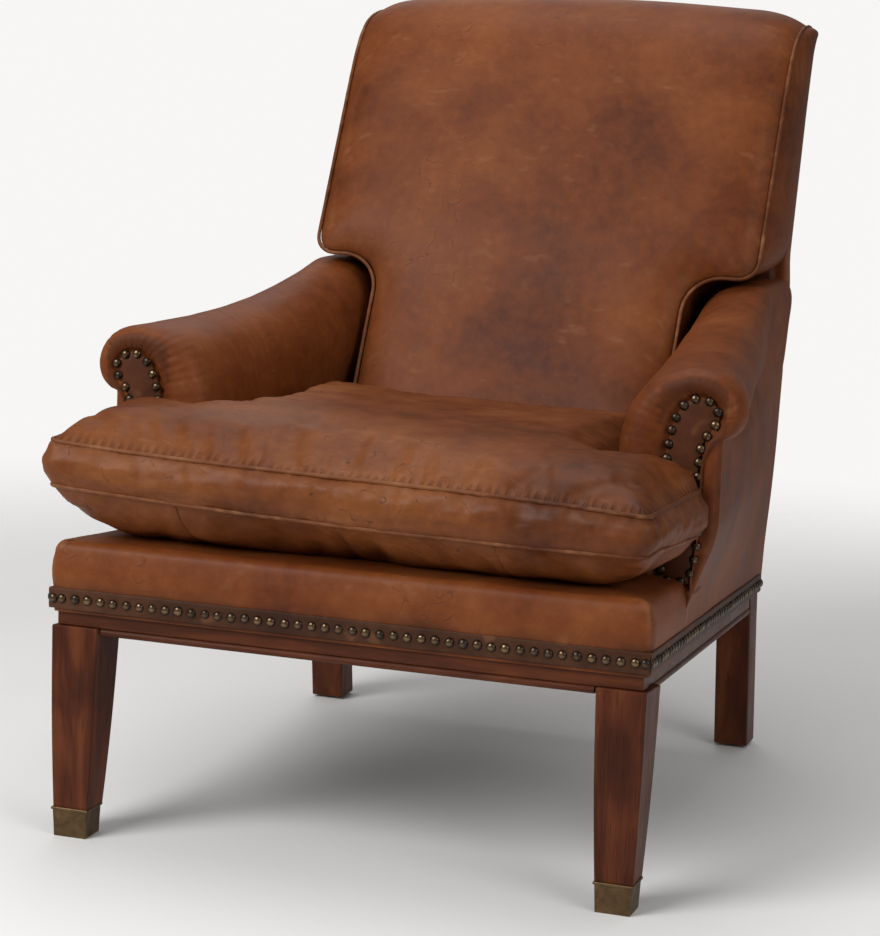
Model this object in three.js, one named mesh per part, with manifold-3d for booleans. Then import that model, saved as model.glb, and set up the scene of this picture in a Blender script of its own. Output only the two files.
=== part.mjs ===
// Leather club chair: a low armchair with scroll arms set back from the seat front, a raked
// T-shaped back, a loose T-shaped cushion and a show-wood seat frame on tapered legs.
// Millimetres, +Z up, the front of the front legs at y = 0, the chair looks towards -Y.

import * as THREE from 'three';
import { mergeVertices } from 'three/addons/utils/BufferGeometryUtils.js';
import Module from 'manifold-3d';

const wasm = await Module();
wasm.setup();

// ---- driving dimensions ---------------------------------------------------------------

const GAP = 0.4;               // clearance between pieces that touch
const SEAT_SLOPE = 0.072;      // fall of the seat frame towards the back, per mm of depth
const PLAN_TAPER = 0.049;      // narrowing of each side towards the back, per mm of depth

const LEG_TOP = 250;           // underside of the seat frame at the front
const CAP_HEIGHT = 35;         // brass caps on the front feet
const CAP_WALL = 1.6;

const RAIL_HALF = 346;         // outer face of the side rails at the front
const RAIL_FRONT = 5;          // front face of the front rail
const RAIL_THICK = 22;
const RAIL_HEIGHT = 50;
const BEAD_HEIGHT = 8.6;

const POST_FRONT = 710;        // front face of the back posts where the side rails end
const POST_OUTER = 312;
const POST_INNER = 267;

const DECK_TOP = 349;          // top of the upholstered seat platform at the front
const DECK_HALF = 351.5;
const DECK_BACK = 640;
const BAND_LOW = 270;          // lower edge of the nailed leather band at the front
const BAND_HEIGHT = 24;
const BAND_THICK = 2;

const ARM_FRONT = 200;         // where the arms start, behind the front of the seat
const ARM_INNER = 250;
const ARM_OUTER = 398;
const ARM_TOP = 576;
const ARM_RISE = 40;           // how much higher the arms are at the back
const PANEL_THICK = 2.4;       // outside leather panels with their card

const BACK_TOP = 958;
const BACK_HALF = 303;
const BACK_WAIST = 211;        // half width of the back between the arms

const CUSHION_LOW = 350.2;
const CUSHION_TOP = 486;
const CUSHION_HALF = 352;
const CUSHION_FRONT = -22;

// ---- materials ------------------------------------------------------------------------

const finish = (color, roughness, metalness = 0) =>
  new THREE.MeshStandardMaterial({ color, roughness, metalness });

const MAHOGANY = finish(0x4a2618, 0.45);
const BEECH = finish(0xc09a68, 0.7);
const BRASS = finish(0x7d5f3a, 0.45, 0.9);
const LEATHER = finish(0x6f3b20, 0.5);
const BAND_LEATHER = finish(0x3d251a, 0.55);
const PADDING = finish(0xb9a688, 0.95);
const STEEL = finish(0x777b80, 0.4, 0.9);
const CLOTH = finish(0x17171a, 0.95);
const NYLON = finish(0x22201e, 0.6);

// ---- helpers --------------------------------------------------------------------------

const chair = new THREE.Group();

function add(name, geometry, material) {
  const mesh = new THREE.Mesh(geometry, material);
  mesh.name = name;
  chair.add(mesh);
}

// Merges the shared corners, so that only one closed skin is left.
function closed(geometry) {
  geometry.deleteAttribute('normal');
  geometry.deleteAttribute('uv');
  return mergeVertices(geometry, 1e-4);
}

// Moves every vertex of a geometry by a function of its position.
function shaped(geometry, move) {
  const spots = geometry.attributes.position;
  for (let i = 0; i < spots.count; i += 1) {
    const [x, y, z] = move(spots.getX(i), spots.getY(i), spots.getZ(i));
    spots.setXYZ(i, x, y, z);
  }
  return geometry;
}

// A box with u, v and w running from 0 to 1, bent to any six-sided shape.
function block(move, nu = 1, nv = 1, nw = 1) {
  const box = new THREE.BoxGeometry(1, 1, 1, nu, nv, nw).translate(0.5, 0.5, 0.5);
  return shaped(closed(box), move);
}

// A straight block between two corners.
function plainBlock(low, high) {
  const between = (t, i) => low[i] + t * (high[i] - low[i]);
  return block((u, v, w) => [between(u, 0), between(v, 1), between(w, 2)]);
}

// The other side of the chair: x changes sign and every triangle turns round.
function mirrored(geometry) {
  const copy = geometry.clone().scale(-1, 1, 1);
  const index = copy.index;
  for (let i = 0; i < index.count; i += 3) {
    const first = index.getX(i);
    index.setX(i, index.getX(i + 1));
    index.setX(i + 1, first);
  }
  return copy;
}

// Turns the skin the right way out after a shaping that swapped two axes.
const outward = (geometry) =>
  toSolid(geometry).volume() > 0 ? geometry : mirrored(geometry).scale(-1, 1, 1);

function addPair(name, geometry, material) {
  add(`${name}_right`, geometry, material);
  add(`${name}_left`, mirrored(geometry), material);
}

// Straight-line interpolation through a few [position, value] points.
function along(t, points) {
  let i = 1;
  while (i < points.length - 1 && t > points[i][0]) i += 1;
  const [t0, v0] = points[i - 1];
  const [t1, v1] = points[i];
  return v0 + ((t - t0) / (t1 - t0)) * (v1 - v0);
}

function toSolid(geometry) {
  const vertProperties = new Float32Array(geometry.attributes.position.array);
  const triVerts = new Uint32Array(geometry.index.array);
  return new wasm.Manifold(new wasm.Mesh({ numProp: 3, vertProperties, triVerts }));
}

function toGeometry(solid) {
  const mesh = solid.getMesh();
  const geometry = new THREE.BufferGeometry();
  geometry.setAttribute('position', new THREE.BufferAttribute(mesh.vertProperties, 3));
  geometry.setIndex(new THREE.BufferAttribute(mesh.triVerts, 1));
  return geometry;
}

const cut = (geometry, ...tools) =>
  toGeometry(tools.reduce((left, tool) => left.subtract(toSolid(tool)), toSolid(geometry)));
const join = (geometry, ...others) =>
  toGeometry(others.reduce((sum, other) => sum.add(toSolid(other)), toSolid(geometry)));

// An outline in plan, raised from one height to another with rounded edges.
function raised(outline, low, high, round = 0, roundHeight = round, segments = 3) {
  const extruded = new THREE.ExtrudeGeometry(outline, {
    depth: high - low - 2 * roundHeight,
    bevelEnabled: round > 0,
    bevelSize: round,
    bevelOffset: -round,
    bevelThickness: roundHeight,
    bevelSegments: segments,
    curveSegments: 4,
  });
  return closed(extruded.translate(0, 0, low + roundHeight));
}

const polygon = (points) => new THREE.Shape(points.map(([x, y]) => new THREE.Vector2(x, y)));

const fall = (y) => -SEAT_SLOPE * y;
const sloped = (geometry) => shaped(geometry, (x, y, z) => [x, y, z + fall(y)]);
const deckHalf = (y) => DECK_HALF - PLAN_TAPER * y;
const railHalf = (y) => RAIL_HALF - PLAN_TAPER * y;

// ---- front legs and their brass caps --------------------------------------------------

// Four tapered faces with a slight swell; the outer and front faces are nearly upright.
function frontLeg() {
  const body = block((u, v, w) => {
    const z = CAP_HEIGHT + GAP + w * (LEG_TOP - CAP_HEIGHT - GAP);
    const t = z / LEG_TOP;
    const swell = 1.5 * Math.sin(Math.PI * t);
    const inner = 305 - 10.5 * t - swell;
    const outer = 345 + 6 * t + swell;
    const front = 0.8 - 0.6 * t - 0.5 * swell;
    const rear = 38 + 26 * t + swell;
    const y = front + v * (rear - front);
    return [inner + u * (outer - inner), y, z + w * fall(y)];
  }, 1, 1, 8);
  const foot = plainBlock([307.6, 3.4, CAP_WALL + GAP], [342.4, 34.8, CAP_HEIGHT + 4]);
  const inner = 296;
  const outer = railHalf(70) - RAIL_THICK - GAP;
  const front = RAIL_FRONT + RAIL_THICK + GAP;
  const head = plainBlock([inner, front, LEG_TOP - 4], [outer, front + 38, LEG_TOP + RAIL_HEIGHT - 8]);
  return join(body, foot, head);
}

// A tapered cup with a turned-out lip around its mouth.
function brassCap() {
  const cup = block((u, v, w) => {
    const spread = 1.4 * w;
    const x0 = 305 - spread;
    const x1 = 345 + spread;
    const y0 = 0.6 - spread;
    const y1 = 37.4 + spread;
    return [x0 + u * (x1 - x0), y0 + v * (y1 - y0), w * (CAP_HEIGHT - 1)];
  });
  const lip = plainBlock([302, -2.2, CAP_HEIGHT - 3.2], [348, 40.4, CAP_HEIGHT]);
  const hollow = plainBlock([307.2, 3, CAP_WALL], [342.8, 35.2, CAP_HEIGHT + 5]);
  return cut(join(cup, lip), hollow);
}

addPair('front_leg', frontLeg(), MAHOGANY);
addPair('brass_cap', brassCap(), BRASS);

// ---- back posts: leg and back upright in one piece ------------------------------------

const GLIDE_HEIGHT = 3;
const postRear = (z) => along(z, [[0, 786], [217, 755], [300, 762], [561, 818], [950, 924]]);
const postDepth = (z) => along(z, [[0, 45], [300, 45], [950, 32]]);
const postOuter = (z) => along(z, [[0, POST_OUTER], [570, POST_OUTER], [650, 290], [950, 290]]);
const postInner = (z) => along(z, [[0, POST_INNER], [570, POST_INNER], [650, 254], [950, 254]]);
const POST_TOP = 935;

function backPost(grow = 0) {
  const low = GLIDE_HEIGHT - grow;
  const rows = 17;
  return block((u, v, w) => {
    const z = low + w * (POST_TOP + grow - low);
    const inner = postInner(z) - grow;
    const outer = postOuter(z) + grow;
    const rear = postRear(z) + grow;
    const front = postRear(z) - postDepth(z) - grow;
    return [inner + u * (outer - inner), front + v * (rear - front), z];
  }, 1, 1, rows);
}

const glide = new THREE.CylinderGeometry(14, 12, GLIDE_HEIGHT - 0.3, 16).rotateX(Math.PI / 2);
glide.translate((POST_INNER + POST_OUTER) / 2, postRear(0) - 22, (GLIDE_HEIGHT - 0.3) / 2);

addPair('back_post', backPost(), MAHOGANY);
addPair('back_glide', closed(glide), NYLON);

// ---- seat rails, cock beads and corner blocks -----------------------------------------

const railLow = LEG_TOP + GAP;
const railHigh = LEG_TOP + RAIL_HEIGHT;

const frontRail = sloped(plainBlock(
  [-RAIL_HALF, RAIL_FRONT, railLow],
  [RAIL_HALF, RAIL_FRONT + RAIL_THICK, railHigh],
));

function sideRail() {
  const start = RAIL_FRONT + RAIL_THICK + GAP;
  return block((u, v, w) => {
    const y = start + v * (POST_FRONT - GAP - start);
    const x = railHalf(y) - RAIL_THICK * (1 - u);
    return [x, y, railLow + w * (railHigh - railLow) + fall(y)];
  });
}

const BACK_RAIL_FRONT = 722;
const backRail = sloped(plainBlock(
  [-POST_INNER + GAP, BACK_RAIL_FRONT, railLow],
  [POST_INNER - GAP, BACK_RAIL_FRONT + RAIL_THICK, railHigh],
));

add('front_rail', frontRail, MAHOGANY);
add('back_rail', backRail, MAHOGANY);
addPair('side_rail', sideRail(), MAHOGANY);

// The bead's section: flat on top and behind, half round in front.
function beadSection() {
  const section = new THREE.Shape();
  const r = BEAD_HEIGHT / 2;
  section.moveTo(-14, -r);
  section.lineTo(0, -r);
  section.absarc(0, 0, r, -Math.PI / 2, Math.PI / 2, false);
  section.lineTo(-14, r);
  section.closePath();
  return section;
}

function bead(length) {
  const settings = { depth: length, bevelEnabled: false, curveSegments: 6 };
  return closed(new THREE.ExtrudeGeometry(beadSection(), settings));
}

const beadMiddle = LEG_TOP - BEAD_HEIGHT / 2;
const beadInner = 292;
const frontBead = shaped(bead(2 * beadInner), (across, up, run) => {
  const y = RAIL_FRONT + 3 - across;
  return [run - beadInner, y, beadMiddle + up + fall(y)];
});
const sideBeadStart = 67;
const sideBead = shaped(bead(POST_FRONT - GAP - sideBeadStart), (across, up, run) => {
  const y = sideBeadStart + run;
  return [railHalf(y) - 3 + across, y, beadMiddle + up + fall(y)];
});

add('front_bead', outward(frontBead), MAHOGANY);
addPair('side_bead', outward(sideBead), MAHOGANY);

const frontBlockPlan = polygon([
  [232, 27.6], [295.4, 27.6], [295.4, 66], [railHalf(70) - 22.6, 66], [railHalf(130) - 22.6, 124],
]);
const rearInner = railHalf(POST_FRONT) - 22.6;
const rearBlockPlan = polygon([
  [rearInner, 640], [rearInner, 709.4], [266.2, 709.4], [266.2, 721.4], [200, 721.4],
]);
addPair('front_corner_block', sloped(raised(frontBlockPlan, 258, 290)), BEECH);
addPair('back_corner_block', sloped(raised(rearBlockPlan, 258, 290)), BEECH);

// ---- springs, platform and dust cover -------------------------------------------------

const SPRING_COUNT = 5;
const SPRING_WIRE = 1.9;
const SPRING_SWING = 20;

class ZigZag extends THREE.Curve {
  constructor(x) {
    super();
    this.x = x;
  }

  getPoint(t, target = new THREE.Vector3()) {
    const y = 12 + t * (BACK_RAIL_FRONT + 4);
    const swing = SPRING_SWING * Math.sin(2 * Math.PI * 9 * t);
    return target.set(this.x * (1 - 0.12 * t) + swing, y, railHigh + GAP + SPRING_WIRE + fall(y));
  }
}

const wireSection = new THREE.Shape().absarc(0, 0, SPRING_WIRE, 0, 2 * Math.PI, false);
for (let i = 0; i < SPRING_COUNT; i += 1) {
  const path = new ZigZag(-200 + 100 * i);
  const settings = { extrudePath: path, steps: 72, curveSegments: 2 };
  add(`seat_spring_${i + 1}`, closed(new THREE.ExtrudeGeometry(wireSection, settings)), STEEL);
}

// Plan of the platform: full width in front of the arms, narrower between them.
function platformPlan(inset, front, behind) {
  const step = ARM_FRONT - 1 - inset;
  const half = (y) => deckHalf(y) - inset;
  const between = (y) => ARM_INNER - 3 - inset - 0.05 * (y - ARM_FRONT);
  return polygon([
    [-half(front), front], [half(front), front], [half(step), step], [between(step), step],
    [between(behind), behind], [-between(behind), behind], [-between(step), step], [-half(step), step],
  ]);
}

const PAD_LOW = railHigh + 2 * (GAP + SPRING_WIRE) + 1;
const SKIN = 2.2;
const deckPad = raised(platformPlan(SKIN + GAP, SKIN + GAP, DECK_BACK), PAD_LOW - 20, DECK_TOP - SKIN - GAP, 16);
const padFloor = plainBlock([-400, -50, 0], [400, 900, PAD_LOW]);
add('seat_platform_pad', sloped(cut(deckPad, padFloor)), PADDING);

// The leather of the platform: a skin over the pad that hangs down over the rails.
function platformCover() {
  const outside = raised(platformPlan(0, 0, DECK_BACK), BAND_LOW - 30, DECK_TOP, 18);
  const inside = raised(platformPlan(SKIN, SKIN, DECK_BACK + 60), PAD_LOW - 22, DECK_TOP - SKIN, 16);
  const below = plainBlock([-400, -50, 0], [400, 900, BAND_LOW]);
  const inner = ARM_INNER + 4;
  const overRails = plainBlock([-railHalf(0) - GAP, RAIL_FRONT - GAP, 0], [railHalf(0) + GAP, 900, PAD_LOW + 8]);
  const behindSkirt = plainBlock([-400, ARM_FRONT - 30, 0], [400, 900, PAD_LOW]);
  const sides = [
    plainBlock([inner, ARM_FRONT - 3, 0], [400, 900, 500]),
    plainBlock([-400, ARM_FRONT - 3, 0], [-inner, 900, 500]),
  ];
  return cut(outside, inside, below, overRails, behindSkirt, ...sides);
}
add('seat_platform_cover', sloped(platformCover()), LEATHER);

const dustHalf = (y) => railHalf(y) - 26;
const dustPlan = polygon([
  [-286, 30], [286, 30], [286, 74], [dustHalf(74), 74], [dustHalf(700), 700], [258, 700],
  [258, 716], [-258, 716], [-258, 700], [-dustHalf(700), 700], [-dustHalf(74), 74], [-286, 74],
]);
add('dust_cover', sloped(raised(dustPlan, LEG_TOP - 2, LEG_TOP - 0.8)), CLOTH);

// ---- arms -----------------------------------------------------------------------------

const bodyRear = (z) => along(z, [[150, 748], [561, 834], [980, 955]]);
const OVERLENGTH = 30;          // soft bodies start longer and are trimmed behind
const armT = (y) => (y - ARM_FRONT) / 600;
const underEar = (y) => 12 * THREE.MathUtils.smoothstep(y, 590, 680);
const armRise = (y) => ARM_RISE * Math.max(0, armT(y)) ** 2 + underEar(y);

// Where the outline of the arm's front section goes at any depth.
function armSpot(x, y, z) {
  const t = armT(y);
  const inner = ARM_INNER - 28 * t;
  const outer = ARM_OUTER - 60 * t;
  const across = (x - ARM_INNER) / (ARM_OUTER - ARM_INNER);
  const up = THREE.MathUtils.clamp((z - railHigh) / 150, 0, 1);
  return [inner + across * (outer - inner), y, z + (1 - up) * fall(y) + up * armRise(y)];
}

// Front section of the padded arm: inner side, roll, and the flat outer side.
function armSection() {
  const panel = 371;
  const section = new THREE.Shape();
  section.moveTo(ARM_INNER + 4, railHigh + GAP);
  section.lineTo(342, railHigh + GAP);
  section.bezierCurveTo(346, 330, 362, 350, panel, 400);
  section.lineTo(panel, 497);
  section.bezierCurveTo(388, 494, ARM_OUTER, 512, ARM_OUTER, 535);
  section.bezierCurveTo(ARM_OUTER, 566, 372, ARM_TOP, 345, ARM_TOP);
  section.bezierCurveTo(296, ARM_TOP, 262, 535, ARM_INNER + 2, 490);
  section.lineTo(ARM_INNER, 400);
  section.closePath();
  return section;
}

function armBody() {
  const round = 16;
  const length = 640;
  const extruded = new THREE.ExtrudeGeometry(armSection(), {
    depth: length,
    steps: 8,
    bevelEnabled: true,
    bevelSize: round,
    bevelOffset: -round,
    bevelThickness: round,
    bevelSegments: 3,
    curveSegments: 5,
  });
  return shaped(closed(extruded), (x, z, run) => {
    const front = ARM_FRONT + (length + round - run);
    const reach = THREE.MathUtils.clamp((front - ARM_FRONT) / (length + round), 0, 1);
    const y = ARM_FRONT + reach * (bodyRear(z) + OVERLENGTH - ARM_FRONT);
    return armSpot(x, y, z);
  });
}

const stumpLow = (y) => railHigh + GAP + fall(y);
function armStump(grow = 0) {
  return block((u, v, w) => {
    const y = 226 - grow + v * (38 + 2 * grow);
    const x = 304 - grow + u * (33 + 2 * grow);
    const low = stumpLow(y) - 10 * Math.sign(grow);
    return [x, y, low + w * (526 + grow - low)];
  });
}

// The arm rail lies on the stump and ends against the back post.
function armRail(grow = 0) {
  return block((u, v, w) => {
    const y = 226 - grow + v * (753 - 226 + (grow > 0 ? 20 : 0));
    const middle = 323 - 0.065 * (y - 226);
    const x = middle + (u - 0.5) * (34 + 2 * grow);
    return [x, y, 526 + GAP - grow + w * (22 + 2 * grow)];
  });
}

// Everything behind the inner face of the outside back, to trim the soft bodies with.
const behindBack = block((u, v, w) => {
  const z = 100 + w * 900;
  return [(2 * u - 1) * 500, bodyRear(z) - PANEL_THICK - 2 * GAP + v * 300, z];
}, 1, 1, 45);

addPair('arm_stump', armStump(), BEECH);
addPair('arm_rail', cut(armRail(), backPost(GAP)), BEECH);
// Narrow leather-covered facing inside the front of the roll.
function armFacing() {
  const shape = new THREE.Shape();
  shape.moveTo(309, 332);
  shape.lineTo(346, 328);
  shape.bezierCurveTo(356, 360, 358, 400, 356, 440);
  shape.bezierCurveTo(354, 475, 360, 494, 368, 508);
  shape.bezierCurveTo(380, 526, 368, 548, 348, 547);
  shape.bezierCurveTo(322, 546, 308, 510, 306, 470);
  shape.closePath();
  const settings = { depth: 3.6, bevelEnabled: false, curveSegments: 5 };
  const flat = closed(new THREE.ExtrudeGeometry(shape, settings));
  return flat.rotateX(Math.PI / 2).translate(0, ARM_FRONT - GAP, fall(ARM_FRONT) + 14);
}
addPair('arm_facing', armFacing(), LEATHER);

// Outside arm panel: from the roll down to the band, its front edge sweeping forward below.
const panelOut = (y, z) => {
  const low = deckHalf(y) + GAP;
  const t = THREE.MathUtils.smoothstep(z, 316, 400);
  const flare = Math.max(0, 32 * (1 - 0.86 * (y - 200) / 600));
  return low + t * flare;
};

function outsideArm(thick, grow = 0) {
  const start = (z) => along(z, [[262, 118], [292, 126], [322, 192], [360, 214], [500, 216]]);
  return block((u, v, w) => {
    const high = 492;
    const flat = BAND_LOW + w * (high - BAND_LOW);
    const front = start(flat) - grow;
    const y = front + v * (bodyRear(flat) + OVERLENGTH - front);
    const z = flat + (1 - w) * fall(y) + w * armRise(y) + grow * Math.sign(w - 0.5);
    return [panelOut(y, flat) - grow + u * thick, y, z];
  }, 1, 12, 12);
}
addPair('outside_arm', cut(outsideArm(PANEL_THICK), behindBack), LEATHER);

const armTools = [backPost(GAP), armStump(GAP), armRail(GAP), lowerBackRail(GAP), outsideArm(60, GAP), behindBack];
addPair('arm_upholstery', cut(armBody(), ...armTools), LEATHER);

// ---- back -----------------------------------------------------------------------------

const backFront = (z) => along(z, [[300, 516], [654, 691], [930, 829], [960, 850]]);

const TOP_RAIL_LOW = 890;
function topRail(grow = 0) {
  return block((u, v, w) => {
    const z = TOP_RAIL_LOW - grow + w * (POST_TOP - TOP_RAIL_LOW + 2 * grow);
    const half = postInner(z) - GAP + 4 * Math.sign(grow);
    const y = postRear(z) - 28 - grow + v * (22 + 2 * grow);
    return [(2 * u - 1) * half, y, z];
  });
}

function lowerBackRail(grow = 0) {
  return block((u, v, w) => {
    const z = 330 - grow + w * (60 + 2 * grow);
    const half = POST_INNER - GAP + 4 * Math.sign(grow);
    const y = postRear(z) - 36 - grow + v * (22 + 2 * grow);
    return [(2 * u - 1) * half, y, z];
  });
}

// Front outline of the padded back, from the seat up to the crowned top.
function backOutline() {
  const half = new THREE.Path();
  half.moveTo(BACK_WAIST + 6, 313);
  half.lineTo(BACK_WAIST, 540);
  half.bezierCurveTo(BACK_WAIST, 590, 232, 606, 256, 628);
  half.bezierCurveTo(270, 642, BACK_HALF, 634, BACK_HALF - 2, 672);
  half.lineTo(BACK_HALF + 4, 920);
  half.bezierCurveTo(BACK_HALF + 4, 940, 290, 948, 270, 950);
  half.bezierCurveTo(180, 955, 90, BACK_TOP, 0, BACK_TOP);
  const right = half.getPoints(4);
  const left = right.slice(0, -1).reverse().map((p) => new THREE.Vector2(-p.x, p.y));
  return new THREE.Shape([...right, ...left]);
}

function backBody() {
  const round = 16;
  const extruded = new THREE.ExtrudeGeometry(backOutline(), {
    depth: 100 - 2 * round,
    steps: 2,
    bevelEnabled: true,
    bevelSize: round,
    bevelOffset: -round,
    bevelThickness: round,
    bevelSegments: 3,
  });
  return shaped(closed(extruded), (x, z, run) => {
    const reach = THREE.MathUtils.clamp(1 - (run + round) / 100, 0, 1);
    return [x, backFront(z) + reach * (bodyRear(z) + OVERLENGTH - backFront(z)), z];
  });
}

const backTools = [backPost(GAP), mirrored(backPost(GAP)), topRail(GAP), lowerBackRail(GAP), behindBack];
add('back_top_rail', topRail(), BEECH);
add('back_lower_rail', lowerBackRail(), BEECH);
const armTop = armBody().translate(0, 0, GAP);
add('back_upholstery', cut(backBody(), ...backTools, armTop, mirrored(armTop)), LEATHER);

// Outside back: one leather panel from the top down to the back rail.
function outsideBack() {
  const half = (z) => along(z, [[190, 312], [560, 318], [600, 304], [930, 302], [950, 280]]);
  return block((u, v, w) => {
    const z = 216 + w * 729;
    const y = bodyRear(z) - GAP - (1 - v) * PANEL_THICK;
    return [(2 * u - 1) * (half(z) - 3), y, z];
  }, 4, 1, 20);
}
add('outside_back', outsideBack(), LEATHER);

// ---- nailed bands ---------------------------------------------------------------------

const bandHigh = BAND_LOW + BAND_HEIGHT;
const sideBandOut = (y) => deckHalf(y) + GAP + PANEL_THICK + GAP;
const frontBand = plainBlock(
  [-sideBandOut(0) + GAP, -GAP - BAND_THICK, BAND_LOW],
  [sideBandOut(0) - GAP, -GAP, bandHigh],
);
const sideBand = block((u, v, w) => {
  const y = -GAP - BAND_THICK + v * (745 + BAND_THICK);
  return [sideBandOut(y) + u * BAND_THICK, y, BAND_LOW + w * BAND_HEIGHT + fall(y)];
}, 1, 8, 1);
add('front_nail_band', frontBand, BAND_LEATHER);
addPair('side_nail_band', sideBand, BAND_LEATHER);

// ---- loose cushion --------------------------------------------------------------------

// T-shaped in plan: two wings in front of the arms, the body between them.
function cushionPlan() {
  const wing = ARM_FRONT - 6;
  const rear = 512;
  const outline = [
    [CUSHION_HALF - 14, CUSHION_FRONT], [CUSHION_HALF, CUSHION_FRONT + 14],
    [CUSHION_HALF + 6, wing], [ARM_INNER - 6, wing], [BACK_WAIST + 8, rear],
  ];
  const other = outline.map(([x, y]) => [-x, y]).reverse();
  return polygon([...outline, ...other]);
}

// The back edge leans with the back, the front edge stays upright.
const cushion = shaped(raised(cushionPlan(), CUSHION_LOW, CUSHION_TOP, 18, 34, 3), (x, y, z) => {
  const lean = 0.42 * (z - CUSHION_LOW) * Math.max(0, (y - ARM_FRONT) / (512 - ARM_FRONT));
  return [x, y + lean, z];
});
add('seat_cushion', sloped(cushion), LEATHER);

// The origin is in the middle of the chair's footprint, on the floor.
const deepest = bodyRear(BACK_TOP) - PANEL_THICK - 2 * GAP;
chair.position.y = -(CUSHION_FRONT + deepest) / 2;

export default chair;
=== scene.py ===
import math
import random

import bmesh
import bpy
from mathutils import Matrix, Vector, noise
from mathutils.bvhtree import BVHTree
from mathutils.kdtree import KDTree


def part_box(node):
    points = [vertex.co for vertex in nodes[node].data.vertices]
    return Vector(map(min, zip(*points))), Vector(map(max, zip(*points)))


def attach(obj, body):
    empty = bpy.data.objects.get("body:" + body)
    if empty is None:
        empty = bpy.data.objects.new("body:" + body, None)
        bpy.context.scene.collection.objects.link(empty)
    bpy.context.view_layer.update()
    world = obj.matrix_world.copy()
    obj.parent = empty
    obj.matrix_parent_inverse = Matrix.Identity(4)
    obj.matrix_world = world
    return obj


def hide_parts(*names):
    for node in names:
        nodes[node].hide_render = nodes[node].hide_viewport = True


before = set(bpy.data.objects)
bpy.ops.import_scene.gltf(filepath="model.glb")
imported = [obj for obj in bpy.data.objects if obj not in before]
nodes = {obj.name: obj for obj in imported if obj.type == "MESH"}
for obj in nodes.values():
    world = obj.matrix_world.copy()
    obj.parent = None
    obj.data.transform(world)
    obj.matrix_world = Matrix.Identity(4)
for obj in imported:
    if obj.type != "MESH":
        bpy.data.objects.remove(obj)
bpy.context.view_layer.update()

# ---- the room -------------------------------------------------------------------------
# A pale floor under large soft lamps, and a camera a little above the arms, to the right of
# the chair's front. Depths are measured from the front of the front legs, at DATUM.

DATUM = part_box("front_leg_right")[0].y
FLOOR_SIZE = 9.0
FLOOR_FADE = (1.0, 2.6)
CAMERA_PLACE = (1.0195, DATUM - 2.7531, 0.9543)
CAMERA_YAW = math.radians(18.283)
CAMERA_PITCH = math.radians(9.441)
CAMERA_ROLL = math.radians(2.156)
CAMERA_LENS = 104.72
SOFT_LAMPS = (
    ("key_lamp", (-1.7, -2.9, 2.5), 2.2, 108),
    ("side_lamp", (3.0, -2.0, 1.9), 2.4, 38),
    ("top_lamp", (-0.2, 0.3, 3.2), 2.4, 34),
    ("back_lamp", (-1.0, 3.2, 2.4), 2.4, 10),
)
BACKDROP = 0.93          # how bright the empty room looks behind the chair
ROOM_LIGHT = 0.22        # how much of it falls on the chair

camera = bpy.data.objects.new("camera", bpy.data.cameras.new("camera"))
camera.data.lens = CAMERA_LENS
turn = Matrix.Rotation(CAMERA_YAW, 4, "Z") @ Matrix.Rotation(math.pi / 2 - CAMERA_PITCH, 4, "X")
camera.matrix_world = Matrix.Translation(CAMERA_PLACE) @ turn @ Matrix.Rotation(CAMERA_ROLL, 4, "Z")
bpy.context.scene.collection.objects.link(camera)
bpy.context.scene.camera = camera
bpy.context.scene.view_settings.view_transform = "Standard"

for name, place, width, power in SOFT_LAMPS:
    lamp = bpy.data.objects.new(name, bpy.data.lights.new(name, "AREA"))
    lamp.data.shape = "DISK"
    lamp.data.size = width
    lamp.data.energy = power
    aim = Vector((0, 0, 0.45)) - Vector(place)
    lamp.matrix_world = Matrix.Translation(place) @ aim.to_track_quat("-Z", "Y").to_matrix().to_4x4()
    bpy.context.scene.collection.objects.link(lamp)

world = bpy.data.worlds.new("room_light")
world.use_nodes = True
room = world.node_tree.nodes["Background"]
room.inputs["Color"].default_value = (1.0, 0.99, 0.975, 1)
seen = world.node_tree.nodes.new("ShaderNodeMapRange")
seen.inputs["To Min"].default_value = ROOM_LIGHT
seen.inputs["To Max"].default_value = BACKDROP
view_ray = world.node_tree.nodes.new("ShaderNodeLightPath").outputs["Is Camera Ray"]
world.node_tree.links.new(view_ray, seen.inputs["Value"])
world.node_tree.links.new(seen.outputs["Result"], room.inputs["Strength"])
bpy.context.scene.world = world


class Value:
    """A number or colour that varies over a surface; arithmetic on it adds Math nodes."""

    def __init__(self, finish, output):
        self.finish = finish
        self.output = output

    def math(self, operation, *terms):
        return self.finish.node("ShaderNodeMath", {"operation": operation}, dict(enumerate(terms)))[0]

    def __add__(self, other):
        return self.math("ADD", self, other)

    def __sub__(self, other):
        return self.math("SUBTRACT", self, other)

    def __rsub__(self, other):
        return self.math("SUBTRACT", other, self)

    def __mul__(self, other):
        return self.math("MULTIPLY", self, other)

    __radd__ = __add__
    __rmul__ = __mul__

    def size(self):
        return self.math("ABSOLUTE", self)

    def above(self, low, high):
        """0 below low, 1 above high, and a soft step between."""
        ends = {"Value": self, "From Min": low, "From Max": high}
        return self.finish.node("ShaderNodeMapRange", {"interpolation_type": "SMOOTHSTEP"}, ends)[0]


class Made:
    """A node that stands in a finish; its outputs are taken by name or number."""

    def __init__(self, finish, node):
        self.finish = finish
        self.node = node

    def __getitem__(self, key):
        return Value(self.finish, self.node.outputs[key])


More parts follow.
